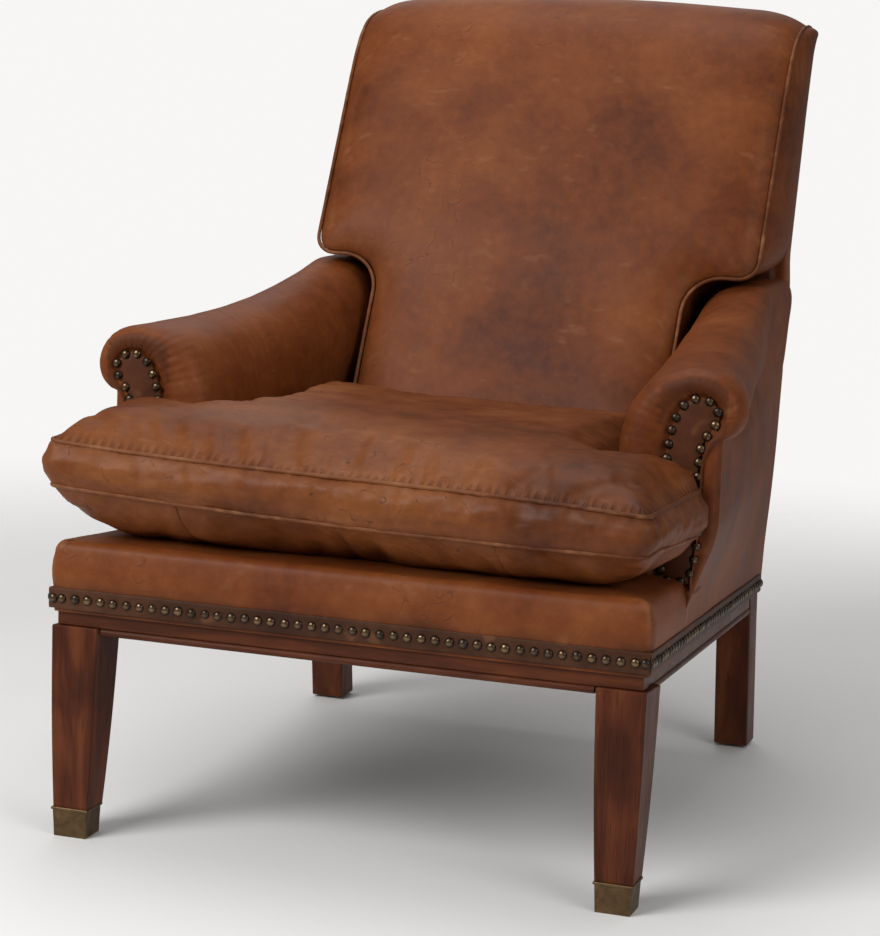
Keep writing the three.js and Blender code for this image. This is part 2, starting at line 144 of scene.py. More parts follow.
class Finish:
    """A material whose nodes are added one by one."""

    def __init__(self, name):
        self.material = bpy.data.materials.new(name)
        self.material.use_nodes = True
        self.tree = self.material.node_tree
        self.shader = self.tree.nodes["Principled BSDF"]
        self.spot = self.node("ShaderNodeTexCoord")["Object"]

    def node(self, kind, settings=None, sockets=None):
        made = self.tree.nodes.new(kind)
        for key, value in (settings or {}).items():
            if key == "stops":
                while len(made.color_ramp.elements) < len(value):
                    made.color_ramp.elements.new(1.0)
                for stop, (place, colour) in zip(made.color_ramp.elements, value):
                    stop.position = place
                    stop.color = (*colour, 1)
            else:
                setattr(made, key, value)
        self.join(made, sockets or {})
        return Made(self, made)

    def join(self, made, sockets):
        for key, value in sockets.items():
            if isinstance(value, Value):
                self.tree.links.new(value.output, made.inputs[key])
            elif isinstance(value, tuple) and made.inputs[key].type == "RGBA":
                made.inputs[key].default_value = (*value, 1)
            else:
                made.inputs[key].default_value = value

    def cloud(self, scale, detail=3.0, distortion=0.0, spot=None, roughness=0.5):
        sockets = {"Vector": spot or self.spot, "Scale": scale, "Detail": detail,
                   "Roughness": roughness, "Distortion": distortion}
        return self.node("ShaderNodeTexNoise", {}, sockets)[0]

    def stretched(self, scale, turn=(0, 0, 0)):
        sockets = {"Vector": self.spot, "Scale": scale, "Rotation": turn}
        return self.node("ShaderNodeMapping", {}, sockets)[0]

    def painted(self, name):
        """A value that the mesh carries on its points."""
        return self.node("ShaderNodeAttribute", {"attribute_name": name})["Fac"]

    def ramp(self, value, *stops):
        return self.node("ShaderNodeValToRGB", {"stops": stops}, {0: value})["Color"]

    def mix(self, share, first, second):
        return self.node("ShaderNodeMix", {"data_type": "RGBA"}, {0: share, 6: first, 7: second})[2]

    def bump(self, *layers):
        """Each layer is a height in millimetres and the one below it is its normal."""
        normal = None
        for height in layers:
            sockets = {"Height": height, "Distance": 0.001, "Strength": 1.0}
            if normal:
                sockets["Normal"] = normal
            normal = self.node("ShaderNodeBump", {}, sockets)[0]
        return normal

    def finished(self, sockets):
        self.join(self.shader, sockets)
        return self.material


def floor_paint():
    """Pale paint that runs out into the empty room some way from the chair."""
    finish = Finish("floor_paint")
    away = finish.node("ShaderNodeVectorMath", {"operation": "LENGTH"}, {0: finish.spot})["Value"]
    tone = finish.mix(finish.cloud(2.0), (0.86, 0.855, 0.845), (0.90, 0.895, 0.885))
    return finish.finished({"Base Color": tone, "Roughness": 0.7, "Alpha": 1 - away.above(*FLOOR_FADE)})


floor_mesh = bmesh.new()
bmesh.ops.create_grid(floor_mesh, x_segments=1, y_segments=1, size=FLOOR_SIZE / 2)
floor = bpy.data.objects.new("floor", bpy.data.meshes.new("floor"))
floor_mesh.to_mesh(floor.data)
floor.data.materials.append(floor_paint())
bpy.context.scene.collection.objects.link(floor)

# ---- front legs -----------------------------------------------------------------------
# Square mahogany legs, tapered on the inner and back faces and slightly swelled, with the
# arrises worn round. Each one is tenoned into the corner of the seat frame.

LEG_TOP = 0.25
CAP_HEIGHT = 0.035
SEAT_SLOPE = 0.072       # fall of the seat frame towards the back
PLAN_TAPER = 0.049       # narrowing of each side towards the back
ARRIS = 0.0016           # how round a worn wooden edge is


def soft_step(t):
    t = min(max(t, 0.0), 1.0)
    return t * t * (3 - 2 * t)


def between(low, high, t):
    return low + t * (high - low)


def grain_of(position, size, seed=0.0):
    """A smooth random number from -1 to 1, for the unevenness of hand work."""
    return noise.noise(Vector(position) / size + Vector((seed, 2.3 * seed, -1.7 * seed)))


def slab(shape, across=1, deep=1, high=1):
    """A block cut into cells and then bent: shape turns u, v, w from 0 to 1 into a place."""
    bm = bmesh.new()
    bmesh.ops.create_cube(bm, size=1, matrix=Matrix.Translation((0.5, 0.5, 0.5)))
    for axis, cells in enumerate((across, deep, high)):
        for i in range(1, cells):
            cut = Vector((0, 0, 0))
            cut[axis] = i / cells
            normal = Vector((0, 0, 0))
            normal[axis] = 1
            bmesh.ops.bisect_plane(bm, geom=bm.verts[:] + bm.edges[:] + bm.faces[:],
                                   dist=1e-6, plane_co=cut, plane_no=normal)
    for v in bm.verts:
        v.co = shape(*v.co)
    bmesh.ops.recalc_face_normals(bm, faces=bm.faces)
    return bm


def soften(bm, width, segments=3, angle=30):
    """Rounds every edge that turns more than the angle."""
    edges = [e for e in bm.edges if len(e.link_faces) == 2 and e.calc_face_angle(0) > math.radians(angle)]
    bmesh.ops.bevel(bm, geom=edges, offset=width, offset_type="OFFSET", segments=segments,
                    profile=0.5, affect="EDGES", material=-1, clamp_overlap=True)


def other_side(bm):
    """A copy of a piece for the other side of the chair."""
    copy = bm.copy()
    bmesh.ops.scale(copy, vec=(-1, 1, 1), verts=copy.verts)
    bmesh.ops.recalc_face_normals(copy, faces=copy.faces)
    return copy


def piece(bm, name, material, stands_for=(), smooth=True, levels=0):
    """Puts a finished mesh into the chair, where it rides with everything else."""
    bmesh.ops.translate(bm, vec=(0, DATUM, 0), verts=bm.verts)
    mesh = bpy.data.meshes.new(name)
    bm.to_mesh(mesh)
    bm.free()
    mesh.polygons.foreach_set("use_smooth", [smooth] * len(mesh.polygons))
    mesh.materials.append(material)
    made = bpy.data.objects.new(name, mesh)
    bpy.context.scene.collection.objects.link(made)
    if levels:
        rounder = made.modifiers.new("rounder", "SUBSURF")
        rounder.levels = rounder.render_levels = levels
    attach(made, "root")
    if stands_for:
        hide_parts(*stands_for)
    return made


def pair(bm, name, material):
    """The right piece and its mirror image, each in place of its own node."""
    mirror = other_side(bm)
    piece(bm, name + "_right_finished", material, (name + "_right",), smooth=False)
    piece(mirror, name + "_left_finished", material, (name + "_left",), smooth=False)


def mahogany(name, along, figure=1.0):
    """Oiled mahogany with its grain along one axis, paler where its edges are rubbed."""
    finish = Finish(name)
    squeeze = [1.0, 1.0, 1.0]
    squeeze[along] = 0.22
    flame = finish.cloud(20, 2, 1.6, finish.stretched(tuple(squeeze)))
    squeeze[along] = 0.05
    streak = finish.cloud(95, 3, 0.6, finish.stretched(tuple(squeeze)), 0.6)
    squeeze[along] = 0.03
    pore = finish.cloud(900, 2, 0.0, finish.stretched(tuple(squeeze)))
    blotch = finish.cloud(14, 2, 0.5)
    tone = flame.above(0.30, 0.70) * (0.34 * figure) + streak * 0.42 + blotch * 0.34
    wood = finish.ramp(tone, (0.20, (0.022, 0.0060, 0.0028)), (0.46, (0.060, 0.0140, 0.0050)),
                       (0.64, (0.095, 0.0240, 0.0080)), (0.9, (0.150, 0.0430, 0.0140)))
    pored = finish.mix(pore.above(0.58, 0.68) * 0.55, wood, (0.012, 0.005, 0.003))
    rubbed = finish.mix(finish.painted("wear") * 0.5, pored, (0.20, 0.070, 0.028))
    normal = finish.bump(streak * 0.10 - pore.above(0.56, 0.7) * 0.06, blotch * 0.6)
    return finish.finished({
        "Base Color": rubbed,
        "Roughness": 0.30 + blotch * 0.22 + pore.above(0.55, 0.7) * 0.2,
        "Specular IOR Level": 0.13,
        "Normal": normal,
    })


def rub(bm):
    """Marks the points on outward edges as worn."""
    wear = bm.verts.layers.float.new("wear")
    bm.normal_update()
    for v in bm.verts:
        bend = sum((v.co - e.other_vert(v).co).normalized().dot(v.normal) for e in v.link_edges)
        v[wear] = soft_step(bend / len(v.link_edges) * 2.5 - 0.2)


leg_wood = mahogany("leg_mahogany", 2)


def front_leg():
    def shape(u, v, w):
        z = between(CAP_HEIGHT - 0.004, LEG_TOP, w)
        t = z / LEG_TOP
        swell = 0.0015 * math.sin(math.pi * t)
        inner = 0.305 - 0.0105 * t - swell
        outer = 0.345 + 0.006 * t + swell
        front = 0.0008 - 0.0006 * t - 0.5 * swell
        rear = 0.038 + 0.026 * t + swell
        y = between(front, rear, v)
        return (between(inner, outer, u), y, z - w * SEAT_SLOPE * y)

    bm = slab(shape, 1, 1, 20)
    soften(bm, ARRIS)
    rub(bm)
    return bm


pair(front_leg(), "front_leg", leg_wood)

# ---- brass caps -----------------------------------------------------------------------
# Cast square ferrules pushed over the front feet, open at the top with a thin turned-out
# lip. The brass has gone brown and is rubbed bright only on its edges.

LIP_HEIGHT = 0.0032
LIP_OUT = 0.0016
CAP_WALL = 0.0014
SOCKET_DEPTH = 0.012


def aged_brass():
    finish = Finish("aged_brass")
    stain = finish.cloud(45, 4, 0.8)
    spot = finish.cloud(220, 3)
    metal = finish.ramp(stain * 0.8 + spot * 0.25, (0.3, (0.045, 0.025, 0.012)),
                        (0.52, (0.100, 0.060, 0.028)), (0.75, (0.180, 0.112, 0.055)))
    bright = finish.mix(finish.painted("wear") * 0.7, metal, (0.62, 0.45, 0.24))
    return finish.finished({
        "Base Color": bright,
        "Metallic": 0.72 + stain * 0.3,
        "Roughness": 0.60 - stain * 0.28,
        "Normal": finish.bump(spot * 0.05),
    })


brass = aged_brass()


def brass_cap():
    spread = 0.0014

    def shape(u, v, w):
        x = between(0.305 - spread * w, 0.345 + spread * w, u)
        y = between(0.0006 - spread * w, 0.0374 + spread * w, v)
        return (x, y, w * CAP_HEIGHT)

    bm = slab(shape)
    bmesh.ops.bisect_plane(bm, geom=bm.verts[:] + bm.edges[:] + bm.faces[:], dist=1e-6,
                           plane_co=(0, 0, CAP_HEIGHT - LIP_HEIGHT), plane_no=(0, 0, 1))
    lip = [f for f in bm.faces
           if abs(f.normal.z) < 0.5 and f.calc_center_median().z > CAP_HEIGHT - LIP_HEIGHT]
    bmesh.ops.inset_region(bm, faces=lip, thickness=0.0002, depth=LIP_OUT, use_even_offset=True)
    top = [f for f in bm.faces if f.normal.z > 0.9 and f.calc_area() > 0.0012]
    bmesh.ops.inset_region(bm, faces=top, thickness=CAP_WALL, depth=0.0)
    bmesh.ops.translate(bm, vec=(0, 0, -SOCKET_DEPTH), verts=list({v for f in top for v in f.verts}))
    soften(bm, 0.0007, 3)
    rub(bm)
    return bm


pair(brass_cap(), "brass_cap", brass)

# ---- back posts and glides ------------------------------------------------------------
# Back leg and back upright are one sawn mahogany piece on each side. Only the leg below the
# seat shows; a moulded glide is nailed under its foot.


def of_node(name):
    """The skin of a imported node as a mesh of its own, with its corners merged."""
    bm = bmesh.new()
    bm.from_mesh(nodes[name].data)
    bmesh.ops.remove_doubles(bm, verts=bm.verts, dist=1e-5)
    bmesh.ops.dissolve_limit(bm, angle_limit=math.radians(0.2), verts=bm.verts, edges=bm.edges)
    bmesh.ops.translate(bm, vec=(0, -DATUM, 0), verts=bm.verts)
    return bm


def from_node(name, material, edge=ARRIS):
    bm = of_node(name)
    soften(bm, edge, 2, 35)
    rub(bm)
    piece(bm, name + "_finished", material, (name,), smooth=False)


def plain_wood(name):
    """Planed beech that nobody sees."""
    finish = Finish(name)
    line = finish.cloud(60, 4, 0.5, finish.stretched((0.1, 1.0, 1.0)))
    tone = finish.ramp(line, (0.3, (0.36, 0.22, 0.11)), (0.7, (0.55, 0.37, 0.21)))
    return finish.finished({"Base Color": tone, "Roughness": 0.6 + line * 0.2,
                            "Normal": finish.bump(line * 0.2)})


def moulded_nylon():
    finish = Finish("moulded_nylon")
    scuff = finish.cloud(300, 3)
    tone = finish.mix(scuff, (0.02, 0.019, 0.018), (0.05, 0.047, 0.043))
    return finish.finished({"Base Color": tone, "Roughness": 0.5 + scuff * 0.3})


nylon = moulded_nylon()
for side in ("right", "left"):
    from_node("back_post_" + side, leg_wood, 0.0022)
    nodes["back_glide_" + side].data.materials.clear()
    nodes["back_glide_" + side].data.materials.append(nylon)

# ---- seat frame -----------------------------------------------------------------------
# Mahogany rails between the legs, with a cock bead planted along the lower edge of the front
# and side ones, and beech blocks glued and screwed across the corners.

rail_wood_across = mahogany("rail_mahogany_across", 0, 0.6)
rail_wood_deep = mahogany("rail_mahogany_deep", 1, 0.6)
beech = plain_wood("planed_beech")

from_node("front_rail", rail_wood_across, 0.0012)
from_node("back_rail", rail_wood_across, 0.0012)
from_node("front_bead", rail_wood_across, 0.0006)
for side in ("right", "left"):
    from_node("side_rail_" + side, rail_wood_deep, 0.0012)
    from_node("side_bead_" + side, rail_wood_deep, 0.0006)


def recoat(name, material):
    """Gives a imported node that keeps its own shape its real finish."""
    nodes[name].data.materials.clear()
    nodes[name].data.materials.append(material)


for side in ("right", "left"):
    for hidden in ("front_corner_block_", "back_corner_block_", "arm_stump_", "arm_rail_"):
        recoat(hidden + side, beech)
for hidden in ("back_top_rail", "back_lower_rail"):
    recoat(hidden, beech)

# ---- springs, platform and dust cover -------------------------------------------------
# Zigzag springs carry a felted pad. Its leather is drawn over the rails and folded at the
# front corners; below, a black lining is tacked under the frame.

DECK_TOP = 0.349
DECK_HALF = 0.3515
DECK_EDGE = 0.014        # how round the front edge of the platform is
BAND_LOW = 0.270
BAND_HEIGHT = 0.024
ARM_FRONT = 0.198
DECK_LEVELS = 12         # rows of cells from the top of the platform down to the band
DECK_TURN_LEVELS = 5     # how many of them go round the edge


def spring_steel():
    finish = Finish("drawn_wire")
    scale = finish.cloud(400, 3)
    tone = finish.mix(scale, (0.10, 0.10, 0.105), (0.30, 0.30, 0.31))
    return finish.finished({"Base Color": tone, "Metallic": 0.9, "Roughness": 0.3 + scale * 0.25})


def felt():
    finish = Finish("felted_fibre")
    fibre = finish.cloud(500, 5, 1.5, roughness=0.7)
    tone = finish.mix(fibre, (0.30, 0.25, 0.18), (0.58, 0.51, 0.40))
    return finish.finished({"Base Color": tone, "Roughness": 0.95, "Sheen Weight": 0.3,
                            "Normal": finish.bump(fibre * 0.8)})


def lining():
    """Black plain-woven cloth."""
    finish = Finish("black_lining")
    threads = 900
    split = finish.node("ShaderNodeSeparateXYZ", {}, {0: finish.spot})
    warp = (split["X"] * threads * math.pi).math("SINE", split["X"] * threads * math.pi)
    weft = (split["Y"] * threads * math.pi).math("SINE", split["Y"] * threads * math.pi)
    weave = (warp * weft).above(-0.3, 0.3)
    tone = finish.mix(weave, (0.009, 0.009, 0.010), (0.026, 0.026, 0.028))
    return finish.finished({"Base Color": tone, "Roughness": 0.92, "Sheen Weight": 0.25,
                            "Normal": finish.bump(weave * 0.15)})


wire = spring_steel()
for i in range(5):
    recoat(f"seat_spring_{i + 1}", wire)
recoat("seat_platform_pad", felt())

GATHER_PITCH = 0.0105


def leather(name, deep, middle, pale, shine=0.0, creased=1.0, gathered=False):
    """Waxed hide: clouded colour, rubbed pale on its edges and darkened in its folds and beside its seams,
    which is painted shade with some grime, with fine pores, scuffs, cracks and a dull polish."""
    finish = Finish(name)
    broad = finish.cloud(3.4, 1)
    patchy = finish.cloud(11, 3, roughness=0.6)
    fleck = finish.cloud(70, 2, roughness=0.65)
    ridge = finish.cloud(24, 2)
    tone = broad * 0.45 + patchy * 0.40 + fleck * 0.17
    hide = finish.ramp(tone, (0.36, deep), (0.50, middle), (0.66, pale))
    chosen = broad.above(0.46, 0.62)
    crack = (1 - (ridge - 0.5).size().above(0.0, 0.014)) * chosen * fleck.above(0.50, 0.60)
    web = (1 - (fleck - 0.5).size().above(0.0, 0.02)) * chosen
    scuff = finish.cloud(32, 1, spot=finish.stretched((1, 5, 1), (0.4, 0.7, 1.1)))
    scuffed = scuff.above(0.62, 0.72) * patchy.above(0.45, 0.6)
    wear = finish.painted("wear")
    grime = finish.painted("grime")
    worn = finish.mix((wear * (0.55 + fleck * 0.6)).above(0.05, 0.95) * 0.6, hide, (0.30, 0.125, 0.050))
    worn = finish.mix(scuffed * 0.30, worn, (0.24, 0.100, 0.045))
    dark = finish.mix(crack * (0.45 * creased), worn, (0.030, 0.010, 0.005))
    dark = finish.mix(web * (0.16 * creased), dark, (0.045, 0.015, 0.006))
    # painted shade with some grime: the darkest tone goes into creases and beside seams, where the mesh
    # marks them
    dark = finish.mix(grime.above(0.05, 1.0) * 0.85, dark, (0.020, 0.007, 0.004))
    height = finish.cloud(150, 3, roughness=0.72) * 0.24 + ridge * 0.9 - crack * (0.16 * creased)
    if gathered:
        # short pleats beside the seam, from the lengths that the mesh carries
        beside = 1 - finish.painted("inward").above(0.001, 0.020)
        turn = finish.painted("along") * (2 * math.pi / GATHER_PITCH) + broad * 9
        groove = turn.math("SINE", turn).above(-0.4, 1.0) * beside
        height = height - groove * 1.1
        # the grooves are painted darker as well: painted shade in the folds of the gathers
        dark = finish.mix(groove * 0.45, dark, (0.030, 0.010, 0.004))
    return finish.finished({
        "Base Color": dark,
        "Roughness": 0.42 - shine + patchy * 0.16 - wear * 0.07 + grime * 0.2,
        "Specular IOR Level": 0.17,
        "Normal": finish.bump(height),
    })


BROWN_DEEP = (0.078, 0.0175, 0.0045)
BROWN = (0.150, 0.0370, 0.0080)
BROWN_PALE = (0.215, 0.0630, 0.0160)
hide = leather("waxed_hide", BROWN_DEEP, BROWN, BROWN_PALE)


def tee(narrow, wide, narrow_rows, rows, cell):
    """A flat T of square cells, wide at its far end, with its narrow end at y = 0."""
    bm = bmesh.new()
    bmesh.ops.create_grid(bm, x_segments=2 * wide, y_segments=rows, size=1)
    for v in bm.verts:
        v.co = (v.co.x * wide * cell, (v.co.y + 1) * rows * cell / 2, 0)
    middle = narrow_rows * cell
    beside = [f for f in bm.faces
              if f.calc_center_median().y < middle and abs(f.calc_center_median().x) > narrow * cell]
    bmesh.ops.delete(bm, geom=beside, context="FACES")
    return bm


def fillet(bm, corner, first, second, radius):
    """Rounds one corner of a flat panel; first and second run along its edges, away from it."""
    corner, first, second = (Vector((*point, 0)) for point in (corner, first, second))
    centre = corner + radius * (first + second)
    for v in [v for v in bm.verts if v.is_boundary]:
        away = v.co - corner
        for edge, sign in ((first, 1), (second, -1)):
            reach = away.dot(edge)
            if -1e-5 <= reach <= radius + 1e-5 and (away - reach * edge).length < 1e-4:
                turn = (0.5 + 0.5 * sign * reach / radius) * math.pi / 2
                v.co = centre - radius * (first * math.cos(turn) + second * math.sin(turn))
                break


def relax(bm, times):
    inner = [v for v in bm.verts if not v.is_boundary]
    for _ in range(times):
        bmesh.ops.smooth_vert(bm, verts=inner, factor=0.5, use_axis_x=True, use_axis_y=True,
                              use_axis_z=True)


def rim_reach(bm):
    """How far each vertex of a flat panel lies from the panel's edge."""
    rim = [v for v in bm.verts if v.is_boundary]
    points = []
    for v in rim:
        for e in v.link_edges:
            if e.is_boundary:
                points += [v.co, (v.co + e.other_vert(v).co) / 2]
    tree = KDTree(len(points))
    for i, point in enumerate(points):
        tree.insert(point, i)
    tree.balance()
    return {v: tree.find(v.co)[2] for v in bm.verts}


def age(bm, strength=1.0, passes=2):
    """Marks outward bends as worn and inward ones as darker, which is painted shade in the hollows with some
    grime, from the shape itself.
    """
    wear = bm.verts.layers.float.get("wear") or bm.verts.layers.float.new("wear")
    grime = bm.verts.layers.float.get("grime") or bm.verts.layers.float.new("grime")
    bm.normal_update()
    bend = {}
    for v in bm.verts:
        turns = sum((v.co - e.other_vert(v).co).normalized().dot(v.normal) for e in v.link_edges)
        bend[v] = turns / max(len(v.link_edges), 1)
    for _ in range(passes):
        bend = {v: (bend[v] + sum(bend[e.other_vert(v)] for e in v.link_edges) / len(v.link_edges)) / 2
                for v in bm.verts if v.link_edges}
    for v, turn in bend.items():
        v[wear] = max(v[wear], soft_step(strength * (turn * 5 - 0.25)))
        # painted shade with some grime: the more a point bends inward, the darker it is marked
        v[grime] = max(v[grime], soft_step(strength * (-turn * 5 - 0.2)))


def deck_cover():
    cell = 0.0078
    wide, narrow = 45, 31
    rows, narrow_rows = 80, 54
    bm = tee(narrow, wide, narrow_rows, rows, cell)
    half = wide * cell
    length = rows * cell
    for side in (-1, 1):
        fillet(bm, (side * half, length), (-side, 0), (0, -1), 0.007)
    step_names = bm.verts.layers.int.new("level")
    skirt = [e for e in bm.edges if e.is_boundary]
    levels = DECK_LEVELS
    for level in range(1, levels + 1):
        grown = bmesh.ops.extrude_edge_only(bm, edges=skirt)["geom"]
        fresh = {g for g in grown if isinstance(g, bmesh.types.BMVert)}
        for v in fresh:
            v[step_names] = level
            v.co.z = -level
        skirt = [g for g in grown if isinstance(g, bmesh.types.BMEdge) and set(g.verts) <= fresh]
    turn_levels = DECK_TURN_LEVELS
    skirt_low = BAND_LOW - 0.004
    for v in bm.verts:
        x, flat_y = v.co.x, v.co.y
        y = length - flat_y + 0.001
        level = v[step_names]
        edge = min(half - abs(x) if y < ARM_FRONT else 1, y)
        free = soft_step((ARM_FRONT + 0.03 - y) / 0.03)
        if level <= turn_levels:
            # over the rolled edge
            turn = level / turn_levels * math.pi / 2
            z = DECK_TOP - DECK_EDGE * (1 - math.cos(turn))
            sink = DECK_EDGE * (1 - math.sin(turn))
        else:
            t = (level - turn_levels) / (levels - turn_levels)
            z = between(DECK_TOP - DECK_EDGE, skirt_low, t)
            sink = -0.0035 * math.sin(math.pi * min(t * 1.55, 1.0)) ** 0.7
        if not level:
            near_side = max(0, 1 - (half - abs(x)) / 0.1) * free
            near_front = max(0, 1 - y / 0.1)
            corner = 1 - 0.293 * max(0, 1 - max(y, half - abs(x)) / 0.06)
            x -= math.copysign(DECK_EDGE * near_side * corner, x)
            y += DECK_EDGE * near_front * corner
        else:
            inward = Vector((-math.copysign(1, x) if half - abs(x) < 1e-3 or y >= ARM_FRONT else 0,
                             1 if y < 2e-3 else 0, 0))
            if y < 0.012 and half - abs(x) < 0.012:
                inward = Vector((-math.copysign(1, x), 1, 0)).normalized()
            x += inward.x * sink
            y += inward.y * sink
        x *= (DECK_HALF - PLAN_TAPER * y) / half
        billow = 0.0022 * grain_of((x, y, z), 0.11, 3.1)
        z -= SEAT_SLOPE * y
        if not level:
            z += billow + 0.004 * soft_step(edge / 0.06)
        v.co = (x, y, z)
    bmesh.ops.recalc_face_normals(bm, faces=bm.faces)
    top_face = max(bm.faces, key=lambda f: f.calc_center_median().z)
    if top_face.normal.z < 0:
        bmesh.ops.reverse_faces(bm, faces=bm.faces)
    return bm


deck = deck_cover()
age(deck)
# Painted shade on the front of the platform: darker towards the band below and towards the right side.
platform_shade = deck.verts.layers.float["grime"]
for v in deck.verts:
    above_band = v.co.z + SEAT_SLOPE * v.co.y - BAND_LOW - BAND_HEIGHT
    if v.co.y < 0.02:
        lower = math.exp(-max(above_band, 0) / 0.014) * (0.50 + 0.4 * grain_of(v.co, 0.06, 4))
        aside = 0.30 * soft_step(v.co.x / 0.5 + 0.3) * soft_step(1 - above_band / 0.05)
        v[platform_shade] = max(v[platform_shade], lower, aside)
piece(deck, "seat_platform_leather", hide, ("seat_platform_cover",))

LINING_SIZE = (0.62, 0.69)


def dust_cover():
    bm = bmesh.new()
    bmesh.ops.create_grid(bm, x_segments=24, y_segments=26, size=0.5)
    width, length = LINING_SIZE
    for v in bm.verts:
        y = 0.028 + (v.co.y + 0.5) * length
        x = v.co.x * width * (1 - 0.13 * (v.co.y + 0.5))
        sag = 0.006 * (1 - (2 * v.co.x) ** 2) * (1 - (2 * v.co.y) ** 2)
        v.co = (x, y, LEG_TOP - 0.0008 - SEAT_SLOPE * y - sag + 0.0008 * grain_of((x, y, 0), 0.05))
    return bm


lining_piece = piece(dust_cover(), "dust_cover_cloth", lining(), ("dust_cover",))
LINING_SIZE[0] * LINING_SIZE[1] * 0.935

# ---- nailed bands ---------------------------------------------------------------------
# A strip of dark leather covers the raw edge of the covers along the front and the sides of
# the seat frame, held by a close row of domed decorative nails with an antique finish.

NAIL_RADIUS = 0.0056
NAIL_PITCH = 0.0162
NAIL_DOME = 0.62         # height of a head over its radius
NAIL_UNDER = 0.12        # the same for the part sunk in the leather
BAND_THICK = 0.0016
BAND_CELL = 0.0054
BAND_INSET = 0.0045      # how far the end nails stand in from the strip's ends
BAND_FRONT_HALF = 0.3535
BAND_SIDE_END = 0.742
BAND_OUT = 0.0005        # the strips lie this far in front of the rail
SIDES = ((1, "right"), (-1, "left"))

band_hide = leather("dark_band_hide", (0.022, 0.0075, 0.003), (0.045, 0.015, 0.006), (0.085, 0.032, 0.013))


def antique_bronze():
    """Dark lacquered brass, rubbed through on the crown of each nail."""
    finish = Finish("antique_bronze")
    crown = finish.painted("crown")
    luck = finish.painted("luck")
    stain = finish.cloud(600, 3)
    rubbed = (crown + luck * 0.45 + stain * 0.3).above(0.95, 1.60)
    metal = finish.mix(rubbed, (0.022, 0.012, 0.006), (0.19, 0.120, 0.062))
    return finish.finished({
        "Base Color": metal,
        "Metallic": 0.55 + rubbed * 0.4,
        "Roughness": 0.24 - rubbed * 0.06 + stain * 0.1,
        "Normal": finish.bump(finish.cloud(330, 2) * 0.10),
    })


bronze = antique_bronze()


def even(line, pitch, closed=False):
    """Points along a line of vectors, an equal distance apart, as near the pitch as fits."""
    line = line + [line[0]] if closed else line
    lengths = [0.0]
    for a, b in zip(line, line[1:]):
        lengths.append(lengths[-1] + (b - a).length)
    count = max(round(lengths[-1] / pitch), 1)
    spots = []
    i = 0
    for k in range(count if closed else count + 1):
        target = lengths[-1] * k / count
        while i < len(line) - 2 and lengths[i + 1] < target:
            i += 1
        span = max(lengths[i + 1] - lengths[i], 1e-9)
        spots.append(line[i].lerp(line[i + 1], (target - lengths[i]) / span))
    return spots


def spline(points, steps, closed=False):
    """A smooth line through the points, with the same number of steps in every span."""
    spots = [Vector(p) for p in points]
    count = len(spots)
    line = []
    for i in range(count if closed else count - 1):
        picks = [k % count if closed else min(max(k, 0), count - 1) for k in range(i - 1, i + 3)]
        a, b, c, d = (spots[k] for k in picks)
        for k in range(steps):
            t = k / steps
            line.append((2 * b + (c - a) * t + (2 * a - 5 * b + 4 * c - d) * t ** 2
                         + (3 * b - a - 3 * c + d) * t ** 3) / 2)
    return line if closed else line + [spots[-1]]


def nails(spots, facing, seed):
    """A row of domed heads, each a little out of line, size and square."""
    chance = random.Random(seed)
    bm = bmesh.new()
    crown = bm.verts.layers.float.new("crown")
    luck = bm.verts.layers.float.new("luck")
    for spot in spots:
        face = facing(spot)
        tilt = Vector([chance.uniform(-0.09, 0.09) for _ in range(3)])
        turn = (face + tilt).to_track_quat("Z", "Y").to_matrix().to_4x4()
        size = NAIL_RADIUS * chance.uniform(0.95, 1.05)
        slip = Vector([chance.uniform(-0.0005, 0.0005) for _ in range(3)])
        share = chance.random()
        head = bmesh.ops.create_uvsphere(bm, u_segments=12, v_segments=8, radius=1)["verts"]
        for v in head:
            v[crown] = max(v.co.z, 0)
            v[luck] = share
            v.co.z *= NAIL_DOME if v.co.z > 0 else NAIL_UNDER
            v.co = Matrix.Translation(spot + slip) @ turn @ (v.co * size)
    return bm


def band(line, name, seed, stands_for=()):
    """The strip follows a line of points and outward directions; the nails sit on its middle."""
    spots = even([Vector(point) for point, _ in line], BAND_CELL)
    outs = [Vector(out) for _, out in line]
    first = Vector(line[0][0])

    def out_at(spot):
        best = min(range(len(line)), key=lambda i: (Vector(line[i][0]) - spot).length)
        return outs[best].normalized()

    count = len(spots) - 1

    def shape(u, v, w):
        spot = spots[round(v * count)]
        away = out_at(spot)
        pinch = 0.0002 * math.cos(2 * math.pi * (spot - first).length / NAIL_PITCH)
        rim = min(w, 1 - w) * BAND_HEIGHT
        lift = BAND_THICK * u * (0.75 + 0.25 * soft_step(rim / 0.0025)) + u * pinch
        up = BAND_HEIGHT * (w - 0.5) + (0.0005 * grain_of(spot, 0.03, seed) if w in (0, 1) else 0)
        return spot + away * lift + Vector((0, 0, up))

    bm = slab(shape, 1, count, 8)
    soften(bm, 0.0004, 2, 50)
    age(bm, 0.6, 1)
    piece(bm, name + "_strip", band_hide, stands_for)
    heads = even(spots, NAIL_PITCH)
    heads[0] = heads[0].lerp(heads[1], BAND_INSET / NAIL_PITCH)
    heads[-1] = heads[-1].lerp(heads[-2], BAND_INSET / NAIL_PITCH)
    raised = [spot + out_at(spot) * BAND_THICK for spot in heads]
    piece(nails(raised, out_at, seed), name + "_nails", bronze)


